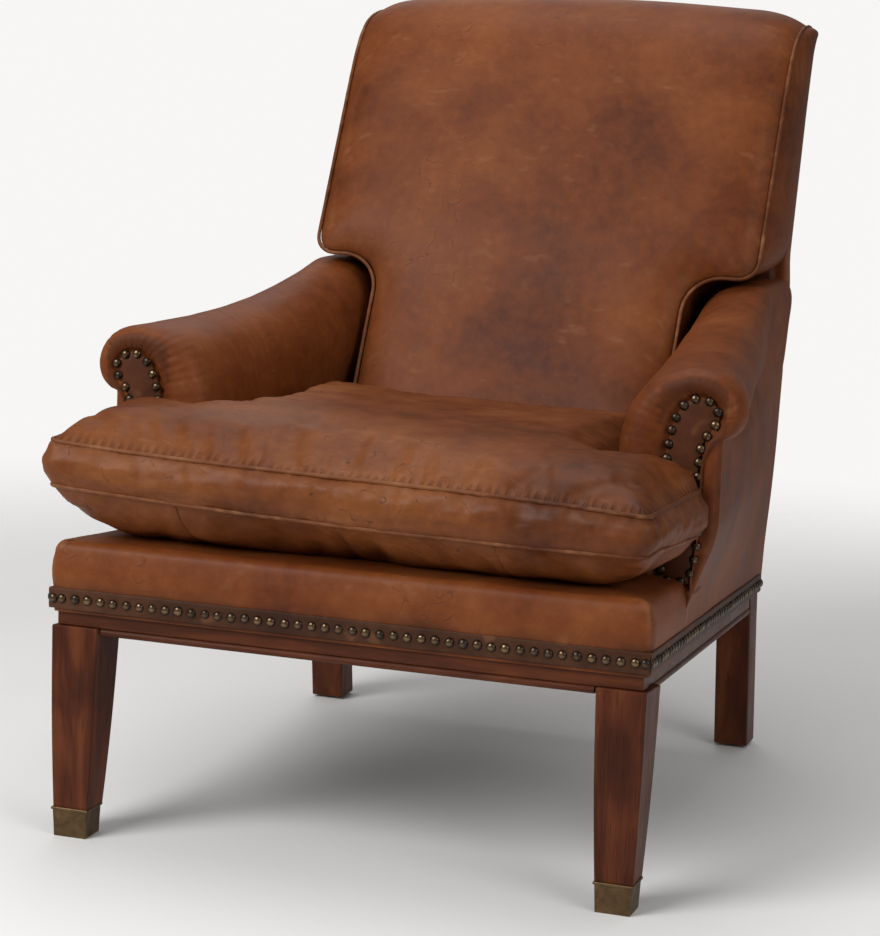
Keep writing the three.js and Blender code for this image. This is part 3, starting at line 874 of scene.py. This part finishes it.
BAND_MIDDLE = BAND_LOW + BAND_HEIGHT / 2
band([((-BAND_FRONT_HALF, -BAND_OUT, BAND_MIDDLE), (0, -1, 0)),
      ((BAND_FRONT_HALF, -BAND_OUT, BAND_MIDDLE), (0, -1, 0))], "front_band", 5, ("front_nail_band",))
for side, name in SIDES:
    line = []
    for i in range(41):
        y = between(-BAND_OUT, BAND_SIDE_END, i / 40)
        x = side * (DECK_HALF + 0.0018 - PLAN_TAPER * y)
        line.append(((x, y, BAND_MIDDLE - SEAT_SLOPE * y), (side, 0, 0)))
    band(line, f"side_band_{name}", 11 + side, (f"side_nail_band_{name}",))

# ---- arms -----------------------------------------------------------------------------
# Stuffed arms over a stump and an arm rail. The hide wraps the roll, is gathered over its
# front edge in small pleats and is nailed there round a narrow facing.

ARM_ROLL_BACK = 0.232    # where the rounded front edge of the arm ends
ARM_UNDER_EAR = 0.69
ARM_END = 0.834
ARM_STEPS = 46           # rings from the front of the arm to its rear
PLEAT_DEPTH = 0.0019
FRONT_SECTION = (
    (0.254, 0.316), (0.2505, 0.400), (0.2505, 0.468), (0.254, 0.505), (0.265, 0.534), (0.284, 0.556),
    (0.312, 0.5695), (0.345, 0.5745), (0.372, 0.5685), (0.390, 0.552), (0.397, 0.530), (0.393, 0.510),
    (0.382, 0.4985), (0.370, 0.494), (0.357, 0.470), (0.355, 0.400), (0.348, 0.334), (0.342, 0.312))
REAR_SECTION = (
    (0.240, 0.296), (0.236, 0.400), (0.229, 0.468), (0.2215, 0.515), (0.2205, 0.555), (0.230, 0.590),
    (0.250, 0.614), (0.276, 0.6240), (0.299, 0.6245), (0.313, 0.618), (0.3195, 0.602), (0.3205, 0.575),
    (0.320, 0.538), (0.319, 0.515), (0.314, 0.470), (0.312, 0.400), (0.310, 0.330), (0.308, 0.296))
NAILED_SECTION = (
    (0.311, 0.330), (0.310, 0.400), (0.309, 0.468), (0.312, 0.495), (0.317, 0.514), (0.325, 0.531),
    (0.336, 0.5415), (0.348, 0.5445), (0.360, 0.541), (0.369, 0.532), (0.371, 0.521), (0.367, 0.510),
    (0.360, 0.500), (0.354, 0.490), (0.350, 0.460), (0.3515, 0.400), (0.347, 0.342), (0.341, 0.328))
NOSE = ((1.00, 0.207), (0.94, 0.2030), (0.86, 0.1995), (0.74, 0.1968), (0.60, 0.1955), (0.45, 0.1955),
        (0.31, 0.1972), (0.20, 0.2003), (0.11, 0.2050), (0.05, 0.2110), (0.012, 0.2200))


def ring_skin(rings, closed_ends=True):
    """A skin through closed rings of points, each extruded from the one before."""
    bm = bmesh.new()
    spoke = bm.verts.layers.int.new("spoke")
    first = bmesh.ops.create_circle(bm, segments=len(rings[0]), radius=1)["verts"]
    for i, v in enumerate(first):
        v[spoke] = i
        v.co = rings[0][i]
    edges = bm.edges[:]
    if closed_ends:
        bmesh.ops.contextual_create(bm, geom=edges)
    for ring in rings[1:]:
        grown = bmesh.ops.extrude_edge_only(bm, edges=edges)["geom"]
        fresh = {g for g in grown if isinstance(g, bmesh.types.BMVert)}
        for v in fresh:
            v.co = ring[v[spoke]]
        edges = [g for g in grown if isinstance(g, bmesh.types.BMEdge) and set(g.verts) <= fresh]
    if closed_ends:
        bmesh.ops.contextual_create(bm, geom=edges)
    bmesh.ops.recalc_face_normals(bm, faces=bm.faces)
    return bm


def body_rear(z):
    """Depth of the back of the chair's body at a height."""
    if z < 0.561:
        return between(0.748, 0.834, (z - 0.150) / 0.411)
    return between(0.834, 0.955, (z - 0.561) / 0.419)


def arm_outline(y):
    """The section of the arm at a depth behind its rounded front edge."""
    t = min(max((y - ARM_ROLL_BACK) / (ARM_UNDER_EAR - ARM_ROLL_BACK), 0), 1)
    rise = t ** 2.3
    points = []
    for (x0, z0), (x1, z1) in zip(FRONT_SECTION, REAR_SECTION):
        x = between(x0, x1, t ** 0.9)
        points.append((x, y, between(z0, z1, rise if z0 > 0.4 else t)))
    return spline(points, 8, closed=True)


def arm_pad():
    nailed = spline([(x, 0, z) for x, z in NAILED_SECTION], 8, closed=True)
    full = arm_outline(ARM_ROLL_BACK)
    rings = []
    for share, y in NOSE:
        rings.append([Vector((between(a.x, b.x, share), y, between(a.z, b.z, share)))
                      for a, b in zip(full, nailed)])
    for i in range(ARM_STEPS + 1):
        ring = arm_outline(between(ARM_ROLL_BACK, ARM_END, i / ARM_STEPS))
        for p in ring:
            p.y = between(ARM_ROLL_BACK, body_rear(p.z) - 0.004, i / ARM_STEPS)
        rings.append(ring)
    return ring_skin(rings)


def pleat(along, seed):
    """Sharp-edged gathers of uneven width: 0 in a fold, 1 on a ridge."""
    wander = along + 0.35 * noise.noise(Vector((along * 0.7, seed, 0)))
    wave = abs(math.sin(math.pi * wander))
    return wave ** 0.6 * (0.65 + 0.35 * noise.noise(Vector((along * 0.31, seed, 4.0))))


PLEATS = 46


def gather_arm(bm, side):
    """Pulls the hide into pleats round the nailed edge and lets the stuffing show through."""
    spoke = bm.verts.layers.int["spoke"]
    wear = bm.verts.layers.float.new("wear")
    grime = bm.verts.layers.float.new("grime")
    bm.normal_update()
    total = 8 * len(FRONT_SECTION)
    moves = {}
    for v in bm.verts:
        share = v[spoke] / total
        front = 1 - soft_step((v.co.y - 0.200) / 0.052)
        strong = 0.15 + 0.85 * soft_step(0.4 + 1.5 * grain_of((share * 9, side, 0), 1.0, 2.0))
        if abs(v.co.x) > 0.350 and v.co.z < 0.517:
            strong = 0
        ridge = pleat(share * PLEATS, 3 + side)
        swell = 0.0016 * grain_of(v.co, 0.075, 7 + side) + 0.0007 * grain_of(v.co, 0.03, 9 + side)
        moves[v] = v.normal * (front * strong * PLEAT_DEPTH * (ridge - 0.6) + swell)
        # darker in a band just behind the nailed front edge
        near_nails = 1 - soft_step((v.co.y - 0.196) / 0.006) if 0.30 < abs(v.co.x) < 0.38 else 0
        v[grime] = 0.55 * near_nails * soft_step((0.205 - abs(v.co.y - 0.205)) / 0.205)
    for v, move in moves.items():
        v.co += move
    age(bm, 0.9)


arm_right = arm_pad()
arm_left = other_side(arm_right)
for (side, name), bm in zip(SIDES, (arm_right, arm_left)):
    gather_arm(bm, side)
    arm_piece = piece(bm, f"arm_{name}_leather", hide, (f"arm_upholstery_{name}",), levels=1)


def facing_panel():
    """A thin covered card inside the nails."""
    ring = [Vector((p.x, 0.2055, p.z)) for p in spline([(x, 0, z) for x, z in NAILED_SECTION], 6, True)]
    middle = Vector((0.334, 0.2055, 0.44))
    rings = []
    for y, shrink in ((0.2065, 0.0), (0.2010, 0.0015), (0.1992, 0.004), (0.1984, 0.009)):
        rings.append([Vector((p.x + (middle.x - p.x) * shrink / 0.02, y,
                              p.z + (middle.z - p.z) * shrink / 0.11)) for p in ring])
    return ring_skin(rings)


facing_hide = leather("dark_facing_hide", (0.040, 0.011, 0.004), (0.075, 0.021, 0.007), (0.12, 0.038, 0.013))
for side, name in SIDES:
    bm = facing_panel()
    if side < 0:
        bm = other_side(bm)
    age(bm, 0.8, 1)
    piece(bm, f"arm_facing_{name}_leather", facing_hide, (f"arm_facing_{name}",))

ARM_NAIL_LINE = (
    (0.312, 0.345), (0.3115, 0.400), (0.3115, 0.455), (0.313, 0.487), (0.318, 0.512), (0.327, 0.531),
    (0.340, 0.541), (0.354, 0.5415), (0.366, 0.534), (0.369, 0.521), (0.362, 0.509), (0.353, 0.494),
    (0.349, 0.470), (0.350, 0.430), (0.353, 0.395), (0.350, 0.362), (0.344, 0.340), (0.332, 0.3315),
    (0.319, 0.3325))
for side, name in SIDES:
    line = spline([(side * x, 0.1985, z) for x, z in ARM_NAIL_LINE], 8, closed=True)
    piece(nails(even(line, NAIL_PITCH, closed=True), lambda spot: Vector((0, -1, 0)), 31 + side),
          f"arm_nails_{name}", bronze)

# ---- outside arms ---------------------------------------------------------------------
# A flat panel of hide from under the roll to the band. In front it turns round the edge of
# the arm and is nailed beside the facing; at its foot it is drawn forward over the platform.

PANEL_HIGH = 0.511


def outside_arm():
    turn_cells = 8
    deep_cells = 62

    def shape(u, v, w):
        flat = between(BAND_LOW + 0.012, PANEL_HIGH, w)
        t = soft_step((flat - 0.300) / 0.105)
        i = v * (turn_cells + deep_cells)
        front_edge = between(0.118, 0.2035, soft_step((flat - 0.262) / 0.075))
        if i < turn_cells:
            # the strip that faces forward and the turn of the corner
            turn = i / turn_cells
            bend = soft_step((turn - 0.45) / 0.55) * math.pi / 2
            radius = 0.006 * t
            x_in = between(DECK_HALF - PLAN_TAPER * front_edge, 0.351, t)
            x_out = panel_side(front_edge, flat, t)
            x = between(x_in, x_out, min(turn * 1.15, 1.0) if turn < 0.6 else 1 - (1 - turn) * 0.55)
            y = front_edge + radius * (1 - math.cos(bend)) - 0.0035 * t * (1 - bend)
        else:
            s = (i - turn_cells) / deep_cells
            rear = body_rear(flat + 0.050 * w * t - 0.055 * (1 - t)) - 0.003
            y = between(front_edge + 0.006 * t, rear, s)
            x = panel_side(y, flat, t)
        x -= 0.012 * soft_step((w - 0.80) / 0.20) * soft_step((y - 0.25) / 0.10)
        rise = 0.048 * max(0.0, (y - 0.2) / 0.6) ** 1.6 * t
        z = flat + rise * w - SEAT_SLOPE * y * (1 - t) - 0.004 * t * (1 - w)
        return (x - 0.0024 * (1 - u), y, z)

    return slab(shape, 1, turn_cells + deep_cells, 30)


def panel_side(y, flat, t):
    low = DECK_HALF + 0.0012 - PLAN_TAPER * y
    flare = max(0.0, 0.031 * (1 - 0.86 * (y - 0.2) / 0.6))
    billow = 0.004 * math.sin(math.pi * min(max((y - 0.2) / 0.58, 0), 1)) * t
    return low + t * flare + billow


panel_right = outside_arm()
panel_left = other_side(panel_right)
for (side, name), bm in zip(SIDES, (panel_right, panel_left)):
    for v in bm.verts:
        v.co.x += side * 0.0014 * grain_of(v.co, 0.09, 13 + side)
    age(bm, 0.8)
    piece(bm, f"outside_arm_{name}_leather", hide, (f"outside_arm_{name}",), levels=1)

# ---- back -----------------------------------------------------------------------------
# One hide covers the front of the back and rolls over its top. It is sewn with a cord to
# the side pieces, which run round the ears and down between the arms.

BACK_HALF = 0.302
BACK_WIDE = 36           # cells from the middle to the side above the arms
BACK_NARROW = 25         # and between them
BACK_CELL = BACK_HALF / BACK_WIDE
BOXING_LEVELS = 13
FRONT_LINE = (
    (0.564, 0.400), (0.634, 0.540), (0.691, 0.654), (0.742, 0.756), (0.794, 0.860), (0.820, 0.905),
    (0.843, 0.932), (0.872, 0.948), (0.910, 0.956), (0.938, 0.956), (0.9515, 0.9495), (0.9545, 0.936))
EAR_LOW = 0.630
WELT_RADIUS = 0.0025

welt_hide = leather("rubbed_welt_hide", (0.065, 0.017, 0.005), (0.122, 0.035, 0.010), (0.22, 0.080, 0.026))


def welt(line, name, closed=False, radius=WELT_RADIUS):
    """A cord covered in hide along a seam, a little uneven in thickness and rubbed in places."""
    spots = even(line, 0.0034, closed)
    count = len(spots)
    spoke = 8
    rings = []
    side_way = None
    for i, spot in enumerate(spots):
        ahead = spots[(i + 1) % count] if closed or i < count - 1 else spot
        behind = spots[i - 1] if closed or i else spot
        run = (ahead - behind).normalized()
        side_way = run.orthogonal().normalized() if side_way is None else \
            (side_way - side_way.dot(run) * run).normalized()
        other = run.cross(side_way)
        thick = radius * (1 + 0.10 * grain_of(spot, 0.012, 5))
        rings.append([spot + thick * (side_way * math.cos(2 * math.pi * k / spoke)
                                      + other * math.sin(2 * math.pi * k / spoke)) for k in range(spoke)])
    if closed:
        rings.append(rings[0])
    bm = ring_skin(rings, closed_ends=not closed)
    if closed:
        bmesh.ops.remove_doubles(bm, verts=bm.verts, dist=1e-6)
        bmesh.ops.recalc_face_normals(bm, faces=bm.faces)
    wear = bm.verts.layers.float.new("wear")
    bm.verts.layers.float.new("grime")
    for v in bm.verts:
        v[wear] = soft_step(0.15 + 0.9 * grain_of(v.co, 0.05, 3) + 0.4 * grain_of(v.co, 0.009, 8))
    return piece(bm, name, welt_hide)


def back_skin():
    line = even(spline([(0, y, z) for y, z in FRONT_LINE], 12), 0.002)
    length = sum((b - a).length for a, b in zip(line, line[1:]))
    rows = round(length / BACK_CELL)
    profile = even(line, length / (rows * 8))
    low = next(i for i, p in enumerate(profile) if p.z > EAR_LOW) / 8
    narrow_rows = round(low)
    bm = tee(BACK_NARROW, BACK_WIDE, narrow_rows, rows, BACK_CELL)
    wear = bm.verts.layers.float.new("wear")
    grime = bm.verts.layers.float.new("grime")
    level_of = bm.verts.layers.int.new("level")
    start_of = bm.verts.layers.int.new("start")
    waist = BACK_NARROW * BACK_CELL
    ledge = narrow_rows * BACK_CELL
    for side in (-1, 1):
        fillet(bm, (side * waist, ledge), (side, 0), (0, -1), 0.050)
        fillet(bm, (side * BACK_HALF, ledge), (-side, 0), (0, 1), 0.026)
    relax(bm, 60)
    reach = rim_reach(bm)
    top_row = rows * BACK_CELL
    flat = {v: v.co.copy() for v in bm.verts}
    side_rim = [e for e in bm.edges if e.is_boundary and not all(
        flat[v].y > top_row - 1e-4 or flat[v].y < 1e-4 for v in e.verts)]
    seam = {v for e in side_rim for v in e.verts}
    # the reach counts only from the seams, not from the open ends at the top and foot
    ends = [v for v in bm.verts if flat[v].y > top_row - 0.05 or flat[v].y < 0.05]
    for v in ends:
        edge = BACK_HALF if flat[v].y > 0.3 else waist
        reach[v] = min(edge - abs(flat[v].x), 0.2)

    def on_profile(s):
        s = min(max(s / BACK_CELL * 8, 0), len(profile) - 1.001)
        i = int(s)
        spot = profile[i].lerp(profile[i + 1], s - i)
        run = (profile[min(i + 4, len(profile) - 1)] - profile[max(i - 4, 0)]).normalized()
        return spot, Vector((0, -run.z, run.y))

    for v in bm.verts:
        x, s = flat[v].x, flat[v].y
        spot, out = on_profile(s)
        d = max(reach[v], 0)
        upper = soft_step((s - 0.20) / 0.12)
        crown = math.cos(math.pi / 2 * min(abs(x) / BACK_HALF, 1))
        puff = 0.021 * (1 - math.exp(-d / 0.026)) + 0.010 * crown * upper
        foot = soft_step(s / 0.06) * soft_step((top_row - s) / 0.055)
        puff += 0.0022 * grain_of((x, spot.y, spot.z), 0.16, 21) * soft_step(d / 0.05)
        v.co = Vector((x, 0, 0)) + spot + out * puff * foot
        # darker close to the seams: painted shade where the hide dips into the seam, with some grime
        near = math.exp(-d / 0.012)
        v[grime] = 0.38 * near * (0.7 + 0.5 * grain_of(v.co, 0.04, 2))
        v[wear] = 0.5 * math.exp(-((d - 0.016) / 0.010) ** 2) * (0.5 + 0.8 * grain_of(v.co, 0.05, 6))
    seam_line = {}
    for side in (-1, 1):
        start = min((v for v in seam if v.co.x * side > 0), key=lambda v: v.co.z)
        path, seen, here = [start], {start}, start
        while here:
            here = next((e.other_vert(here) for e in here.link_edges
                         if e in side_rim and e.other_vert(here) not in seen), None)
            if here:
                seen.add(here)
                path.append(here)
        seam_line[side] = [v.co.copy() for v in path]
    edges = side_rim
    starts = {}
    for i, v in enumerate(seam):
        v[start_of] = i
        starts[i] = v.co.copy()
    for level in range(1, BOXING_LEVELS + 1):
        grown = bmesh.ops.extrude_edge_only(bm, edges=edges)["geom"]
        fresh = {g for g in grown if isinstance(g, bmesh.types.BMVert)}
        t = level / BOXING_LEVELS
        for v in fresh:
            v[level_of] = level
            begin = starts[v[start_of]]
            rear = body_rear(begin.z) + 0.004
            side = math.copysign(1, begin.x)
            full = soft_step((begin.z - EAR_LOW - 0.004) / 0.05) * soft_step((rear - begin.y) / 0.06)
            bulge = 0.013 * math.sin(math.pi * min(t * 1.02, 1)) ** 0.75 * full
            under_ear = abs(begin.x) < BACK_HALF - 0.004 and begin.z < 0.66
            drop = -0.0025 * math.sin(math.pi * t) if under_ear else 0
            drop -= 0.016 * t * t * soft_step((begin.z - 0.915) / 0.045)
            v.co = Vector((begin.x + side * (bulge + 0.004 * t * full),
                           between(begin.y, max(rear, begin.y), t), begin.z + drop))
            # the side piece is darker just behind the seam: painted shade under the cord, with some grime
            v[grime] = 0.6 * math.exp(-t * 0.16 / 0.012)
            v[wear] = 0
        edges = [g for g in grown if isinstance(g, bmesh.types.BMEdge) and set(g.verts) <= fresh]
    bmesh.ops.recalc_face_normals(bm, faces=bm.faces)
    middle = min(bm.faces, key=lambda f: (f.calc_center_median() - Vector((0, 0.72, 0.75))).length)
    if middle.normal.y > 0:
        bmesh.ops.reverse_faces(bm, faces=bm.faces)
    age(bm, 0.7)
    return bm, seam_line


back_bm, back_seams = back_skin()
back_piece = piece(back_bm, "back_leather", hide, ("back_upholstery",), levels=1)
for side, name in SIDES:
    line = [p + Vector((side * 0.0010, -0.0012, 0.0)) for p in back_seams[side]]
    welt(line, f"back_welt_{name}")


def outside_back():
    """The flat panel behind, drawn tight over the posts from the top to the back rail."""

    def shape(u, v, w):
        flat = between(0.222, 0.945, w)
        half = between(0.314, 0.309, soft_step((flat - 0.60) / 0.06))
        half -= 0.010 * soft_step((flat - 0.925) / 0.03)
        x = (2 * u - 1) * half
        crown = 0.004 * (1 - (2 * u - 1) ** 2) * soft_step((flat - 0.8) / 0.15)
        bulge = 0.005 * math.cos(math.pi / 2 * (2 * u - 1)) * math.sin(math.pi * w)
        rear = body_rear(flat) + 0.0035 + bulge + 0.001 * grain_of((x, flat, 0), 0.12, 41)
        rim = min(u, 1 - u) * 2 * half
        fold = 0.004 * (1 - soft_step(rim / 0.012))
        return (x, rear - fold - 0.003 * (1 - v), flat + crown)

    return slab(shape, 40, 1, 60)


bm = outside_back()
age(bm, 0.8)
piece(bm, "outside_back_leather", hide, ("outside_back",))

# ---- seat cushion ---------------------------------------------------------------------
# A loose T-shaped cushion of feather and foam in its own hide case: top, border and pieced
# underside, joined by two corded seams, gathered where the full top meets the front seam.

CUSHION_CELL = 0.0083
CUSHION_WIDE = 42        # cells from the middle to the side of the front part
CUSHION_NARROW = 29
CUSHION_FRONT = -0.019
CUSHION_ROWS = 64
CUSHION_NARROW_ROWS = 38
BORDER_LEVELS = 7
BORDER_SWELL = 0.0105
CUSHION_CROWN = 0.0350
STUFFING_PRESSURE = 3.0
STUFFING_REACH = 0.007   # the furthest that the stuffing moves a point
STUFFING_FRAMES = 18
SEAM_STEP = 0.004
FOLD_PITCH = 0.036       # long folds in the top, and the short gathers between them
FOLD_DEPTH = 0.0058
GATHER_WIDE = 0.0175
GATHER_DEPTH = 0.0030


def top_seam(x, y):
    u = x / 0.348
    return 0.4545 - 0.006 * u - 0.006 * u ** 3 - 0.035 * max(0.0, y - 0.15)


def low_seam(x, y):
    u = x / 0.348
    return 0.4015 - 0.008 * u + 0.006 * u * u - 0.060 * max(0.0, y - 0.02)


def deck_height(y):
    return DECK_TOP - SEAT_SLOPE * y + 0.004


def cushion_skin():
    length = CUSHION_ROWS * CUSHION_CELL
    half = CUSHION_WIDE * CUSHION_CELL
    neck = CUSHION_NARROW * CUSHION_CELL
    bm = tee(CUSHION_NARROW, CUSHION_WIDE, CUSHION_NARROW_ROWS, CUSHION_ROWS, CUSHION_CELL)
    reach_of = bm.verts.layers.float.new("reach")
    seam_of = bm.verts.layers.int.new("seam")
    ledge = CUSHION_NARROW_ROWS * CUSHION_CELL
    for side in (-1, 1):
        fillet(bm, (side * half, length), (-side, 0), (0, -1), 0.0125)
        fillet(bm, (side * half, ledge), (-side, 0), (0, 1), 0.020)
        fillet(bm, (side * neck, ledge), (side, 0), (0, -1), 0.012)
        fillet(bm, (side * neck, 0), (-side, 0), (0, 1), 0.030)
    relax(bm, 30)
    reach_flat = rim_reach(bm)
    for v in bm.verts:
        v[reach_of] = reach_flat[v]
        v[seam_of] = 0
    grown = bmesh.ops.extrude_face_region(bm, geom=bm.faces[:])["geom"]
    for v in (g for g in grown if isinstance(g, bmesh.types.BMVert)):
        v.co.z = 1
    walls = [e for e in bm.edges if abs(e.verts[0].co.z - e.verts[1].co.z) > 0.5]
    bmesh.ops.subdivide_edges(bm, edges=walls, cuts=BORDER_LEVELS - 1, use_grid_fill=True)
    bmesh.ops.recalc_face_normals(bm, faces=bm.faces)
    return bm, length


def shape_cushion(bm, length):
    reach_of = bm.verts.layers.float["reach"]
    seam_of = bm.verts.layers.int["seam"]
    bm.normal_update()
    rim = {v for v in bm.verts if any(abs(e.other_vert(v).co.z - v.co.z) > 1e-3 for e in v.link_edges)}
    for v in bm.verts:
        level = v.co.z
        x = v.co.x
        y = length - v.co.y + CUSHION_FRONT
        on_rim = v in rim
        d = 0.0 if on_rim else v[reach_of]
        taper = 1 - 0.22 * max(0.0, y - 0.20)
        front = 1 + 0.022 * min(max(y, 0) / 0.18, 1) if y < 0.21 else 1.0
        out = Vector((v.normal.x, -v.normal.y, 0))
        high, low = top_seam(x, y), low_seam(x, y)
        if 1e-3 < level < 1 - 1e-3:
            z = between(low, high, level)
            swell = BORDER_SWELL * math.sin(math.pi * level) ** 0.8
        else:
            swell = 0.0
            if level > 0.5:
                rise = between(0.036, 0.010, soft_step((y - 0.09) / 0.10))
                z = high + CUSHION_CROWN * (1 - math.exp(-d / rise))
            else:
                floor_at = deck_height(y)
                z = low - (low - floor_at) * (1 - math.exp(-d / 0.040))
            if on_rim:
                v[seam_of] = 1 if level > 0.5 else 2
        if swell and out.length > 1e-4:
            out.normalize()
            v.co = (x * taper * front + out.x * swell, y + out.y * swell, z)
        else:
            v.co = (x * taper * front, y, z)
    bmesh.ops.recalc_face_normals(bm, faces=bm.faces)
    if bm.calc_volume(signed=True) < 0:
        bmesh.ops.reverse_faces(bm, faces=bm.faces)


def inflate(made, pinned, pressure, cap):
    """Blows the case up as cloth with its seams held; no point moves further than the cap."""
    rest = [v.co.copy() for v in made.data.vertices]
    holders = made.vertex_groups.new(name="held_seams")
    holders.add(pinned, 1.0, "REPLACE")
    cloth = made.modifiers.new("stuffing", "CLOTH")
    cloth.settings.quality = 5
    cloth.settings.mass = 0.35
    cloth.settings.tension_stiffness = 25
    cloth.settings.compression_stiffness = 25
    cloth.settings.bending_stiffness = 0.4
    cloth.settings.use_pressure = True
    cloth.settings.uniform_pressure_force = pressure
    cloth.settings.shrink_min = -0.035
    cloth.settings.vertex_group_mass = "held_seams"
    cloth.settings.effector_weights.gravity = 0
    cloth.collision_settings.use_collision = False
    scene = bpy.context.scene
    for step in range(1, STUFFING_FRAMES + 1):
        scene.frame_set(step)
    blown = made.evaluated_get(bpy.context.evaluated_depsgraph_get())
    moved = [v.co.copy() for v in blown.data.vertices]
    made.modifiers.remove(cloth)
    scene.frame_set(1)
    for v, start, end in zip(made.data.vertices, rest, moved):
        shift = end - start
        if shift.length > cap:
            shift *= cap / shift.length
        v.co = start + shift


def ordered_loop(bm, level):
    """The points along one seam, in order."""
    seam_of = bm.verts.layers.int["seam"]
    ring = {v for v in bm.verts if v[seam_of] == level}
    start = max(ring, key=lambda v: (round(v.co.y, 4), v.co.x))
    path, here, seen = [start], start, {start}
    while here:
        here = next((e.other_vert(here) for e in here.link_edges
                     if e.other_vert(here) in ring and e.other_vert(here) not in seen), None)
        if here:
            seen.add(here)
            path.append(here)
    return [v.co.copy() for v in path]


def tree_of(line):
    tree = KDTree(len(line))
    for i, point in enumerate(line):
        tree.insert(point, i)
    tree.balance()
    return tree


cushion_bm, cushion_length = cushion_skin()
shape_cushion(cushion_bm, cushion_length)
seam_layer = cushion_bm.verts.layers.int["seam"]
pinned = [v.index for v in cushion_bm.verts if v[seam_layer]]
seam_lines = [ordered_loop(cushion_bm, level) for level in (1, 2)]
work_mesh = bpy.data.meshes.new("cushion_work")
cushion_bm.to_mesh(work_mesh)
work = bpy.data.objects.new("cushion_work", work_mesh)
bpy.context.scene.collection.objects.link(work)
inflate(work, pinned, STUFFING_PRESSURE, STUFFING_REACH)
work.modifiers.new("rounder", "SUBSURF").levels = 1
rounded = bpy.data.meshes.new_from_object(work.evaluated_get(bpy.context.evaluated_depsgraph_get()))
bpy.data.objects.remove(work)
cushion_bm.free()

UNDER_SEAMS = (-0.194, -0.010, 0.177)


def dress_cushion(bm):
    """Gathers along the top seam, slack folds in the border and stitched joins underneath."""
    wear = bm.verts.layers.float.new("wear")
    grime = bm.verts.layers.float.new("grime")
    run_of = bm.verts.layers.float.new("along")
    reach_of = bm.verts.layers.float.new("inward")
    high_line = even(seam_lines[0], SEAM_STEP, closed=True)
    low_line = even(seam_lines[1], SEAM_STEP, closed=True)
    high_tree, low_tree = tree_of(high_line), tree_of(low_line)
    bm.normal_update()
    moves = {}
    for v in bm.verts:
        spot = v.co
        _, i, d_high = high_tree.find(spot)
        _, j, d_low = low_tree.find(spot)
        run = high_line[(i + 1) % len(high_line)] - high_line[i - 1]
        along = i * SEAM_STEP + (spot - high_line[i]).dot(run.normalized())
        above = spot.z > high_line[i].z - 0.0005 and v.normal.z > -0.1
        v[run_of] = along
        v[reach_of] = d_high if above else 0.2
        pull = 0.0
        if above:
            slant = along + 0.3 * d_high
            busy = soft_step(0.62 + 1.1 * grain_of((along, 0, 0), 0.13, 4))
            coarse = pleat(slant / FOLD_PITCH, 1.7)
            fine = pleat(slant / GATHER_WIDE, 5.2)
            fade = math.exp(-d_high / 0.060)
            pull = busy * (FOLD_DEPTH * (coarse - 0.62) * fade * soft_step(d_high / 0.010)
                           + GATHER_DEPTH * (fine - 0.6) * math.exp(-d_high / 0.022))
            pull += 0.0022 * grain_of(spot, 0.10, 12) * soft_step(d_high / 0.06)
            pull += 0.0016 * grain_of((spot.x, spot.y * 0.6, spot.z), 0.034, 14)
        elif d_high + d_low < 0.085 and spot.z > low_line[j].z - 0.001:
            fold = grain_of((along * 0.45, 0, spot.z * 2.6), 0.026, 17)
            pull = 0.0022 * fold + 0.0012 * grain_of(spot, 0.018, 19)
        else:
            pull = 0.0022 * grain_of(spot, 0.05, 23) * soft_step(d_low / 0.02)
            fine = pleat((j * SEAM_STEP + 0.2 * d_low) / 0.026, 8.3)
            pull += 0.0016 * (fine - 0.6) * math.exp(-d_low / 0.022)
            for seam_x in UNDER_SEAMS:
                lean = seam_x + 0.09 * (spot.y + 0.02)
                pull -= 0.0016 * math.exp(-((spot.x - lean) / 0.006) ** 2)
        moves[v] = v.normal * pull
        near = min(d_high, d_low)
        # darker close to both seams: painted shade with some grime
        v[grime] = 0.42 * math.exp(-near / 0.0055) * (0.8 + 0.6 * grain_of(spot, 0.03, 3))
        v[wear] = 0.42 * math.exp(-((d_high - 0.012) / 0.012) ** 2) * (0.5 + grain_of(spot, 0.03, 9))
    for v, move in moves.items():
        v.co += move
        floor_at = deck_height(v.co.y)
        if v.co.y > 0.03 and v.co.z < floor_at:
            v.co.z = floor_at
    age(bm)


dressed = bmesh.new()
dressed.from_mesh(rounded)
dress_cushion(dressed)
under_side = BVHTree.FromBMesh(dressed)
cushion_hide = leather("cushion_hide", (0.068, 0.017, 0.0045), (0.142, 0.038, 0.009), (0.225, 0.072, 0.019),
                       shine=0.02, creased=1.4, gathered=True)
cushion = piece(dressed, "seat_cushion_leather", cushion_hide, ("seat_cushion",))
for line, name in zip(seam_lines, ("high", "low")):
    welt(line, f"cushion_welt_{name}", closed=True)
for i, seam_x in enumerate(UNDER_SEAMS):
    line = []
    for k in range(16):
        y = CUSHION_FRONT + 0.003 + 0.006 * k
        hit = under_side.ray_cast(Vector((seam_x + 0.09 * (y + 0.02), y, 0.25)), Vector((0, 0, 1)))[0]
        if hit:
            line.append(hit)
    welt(line, f"cushion_under_seam_{i + 1}", radius=0.0010)
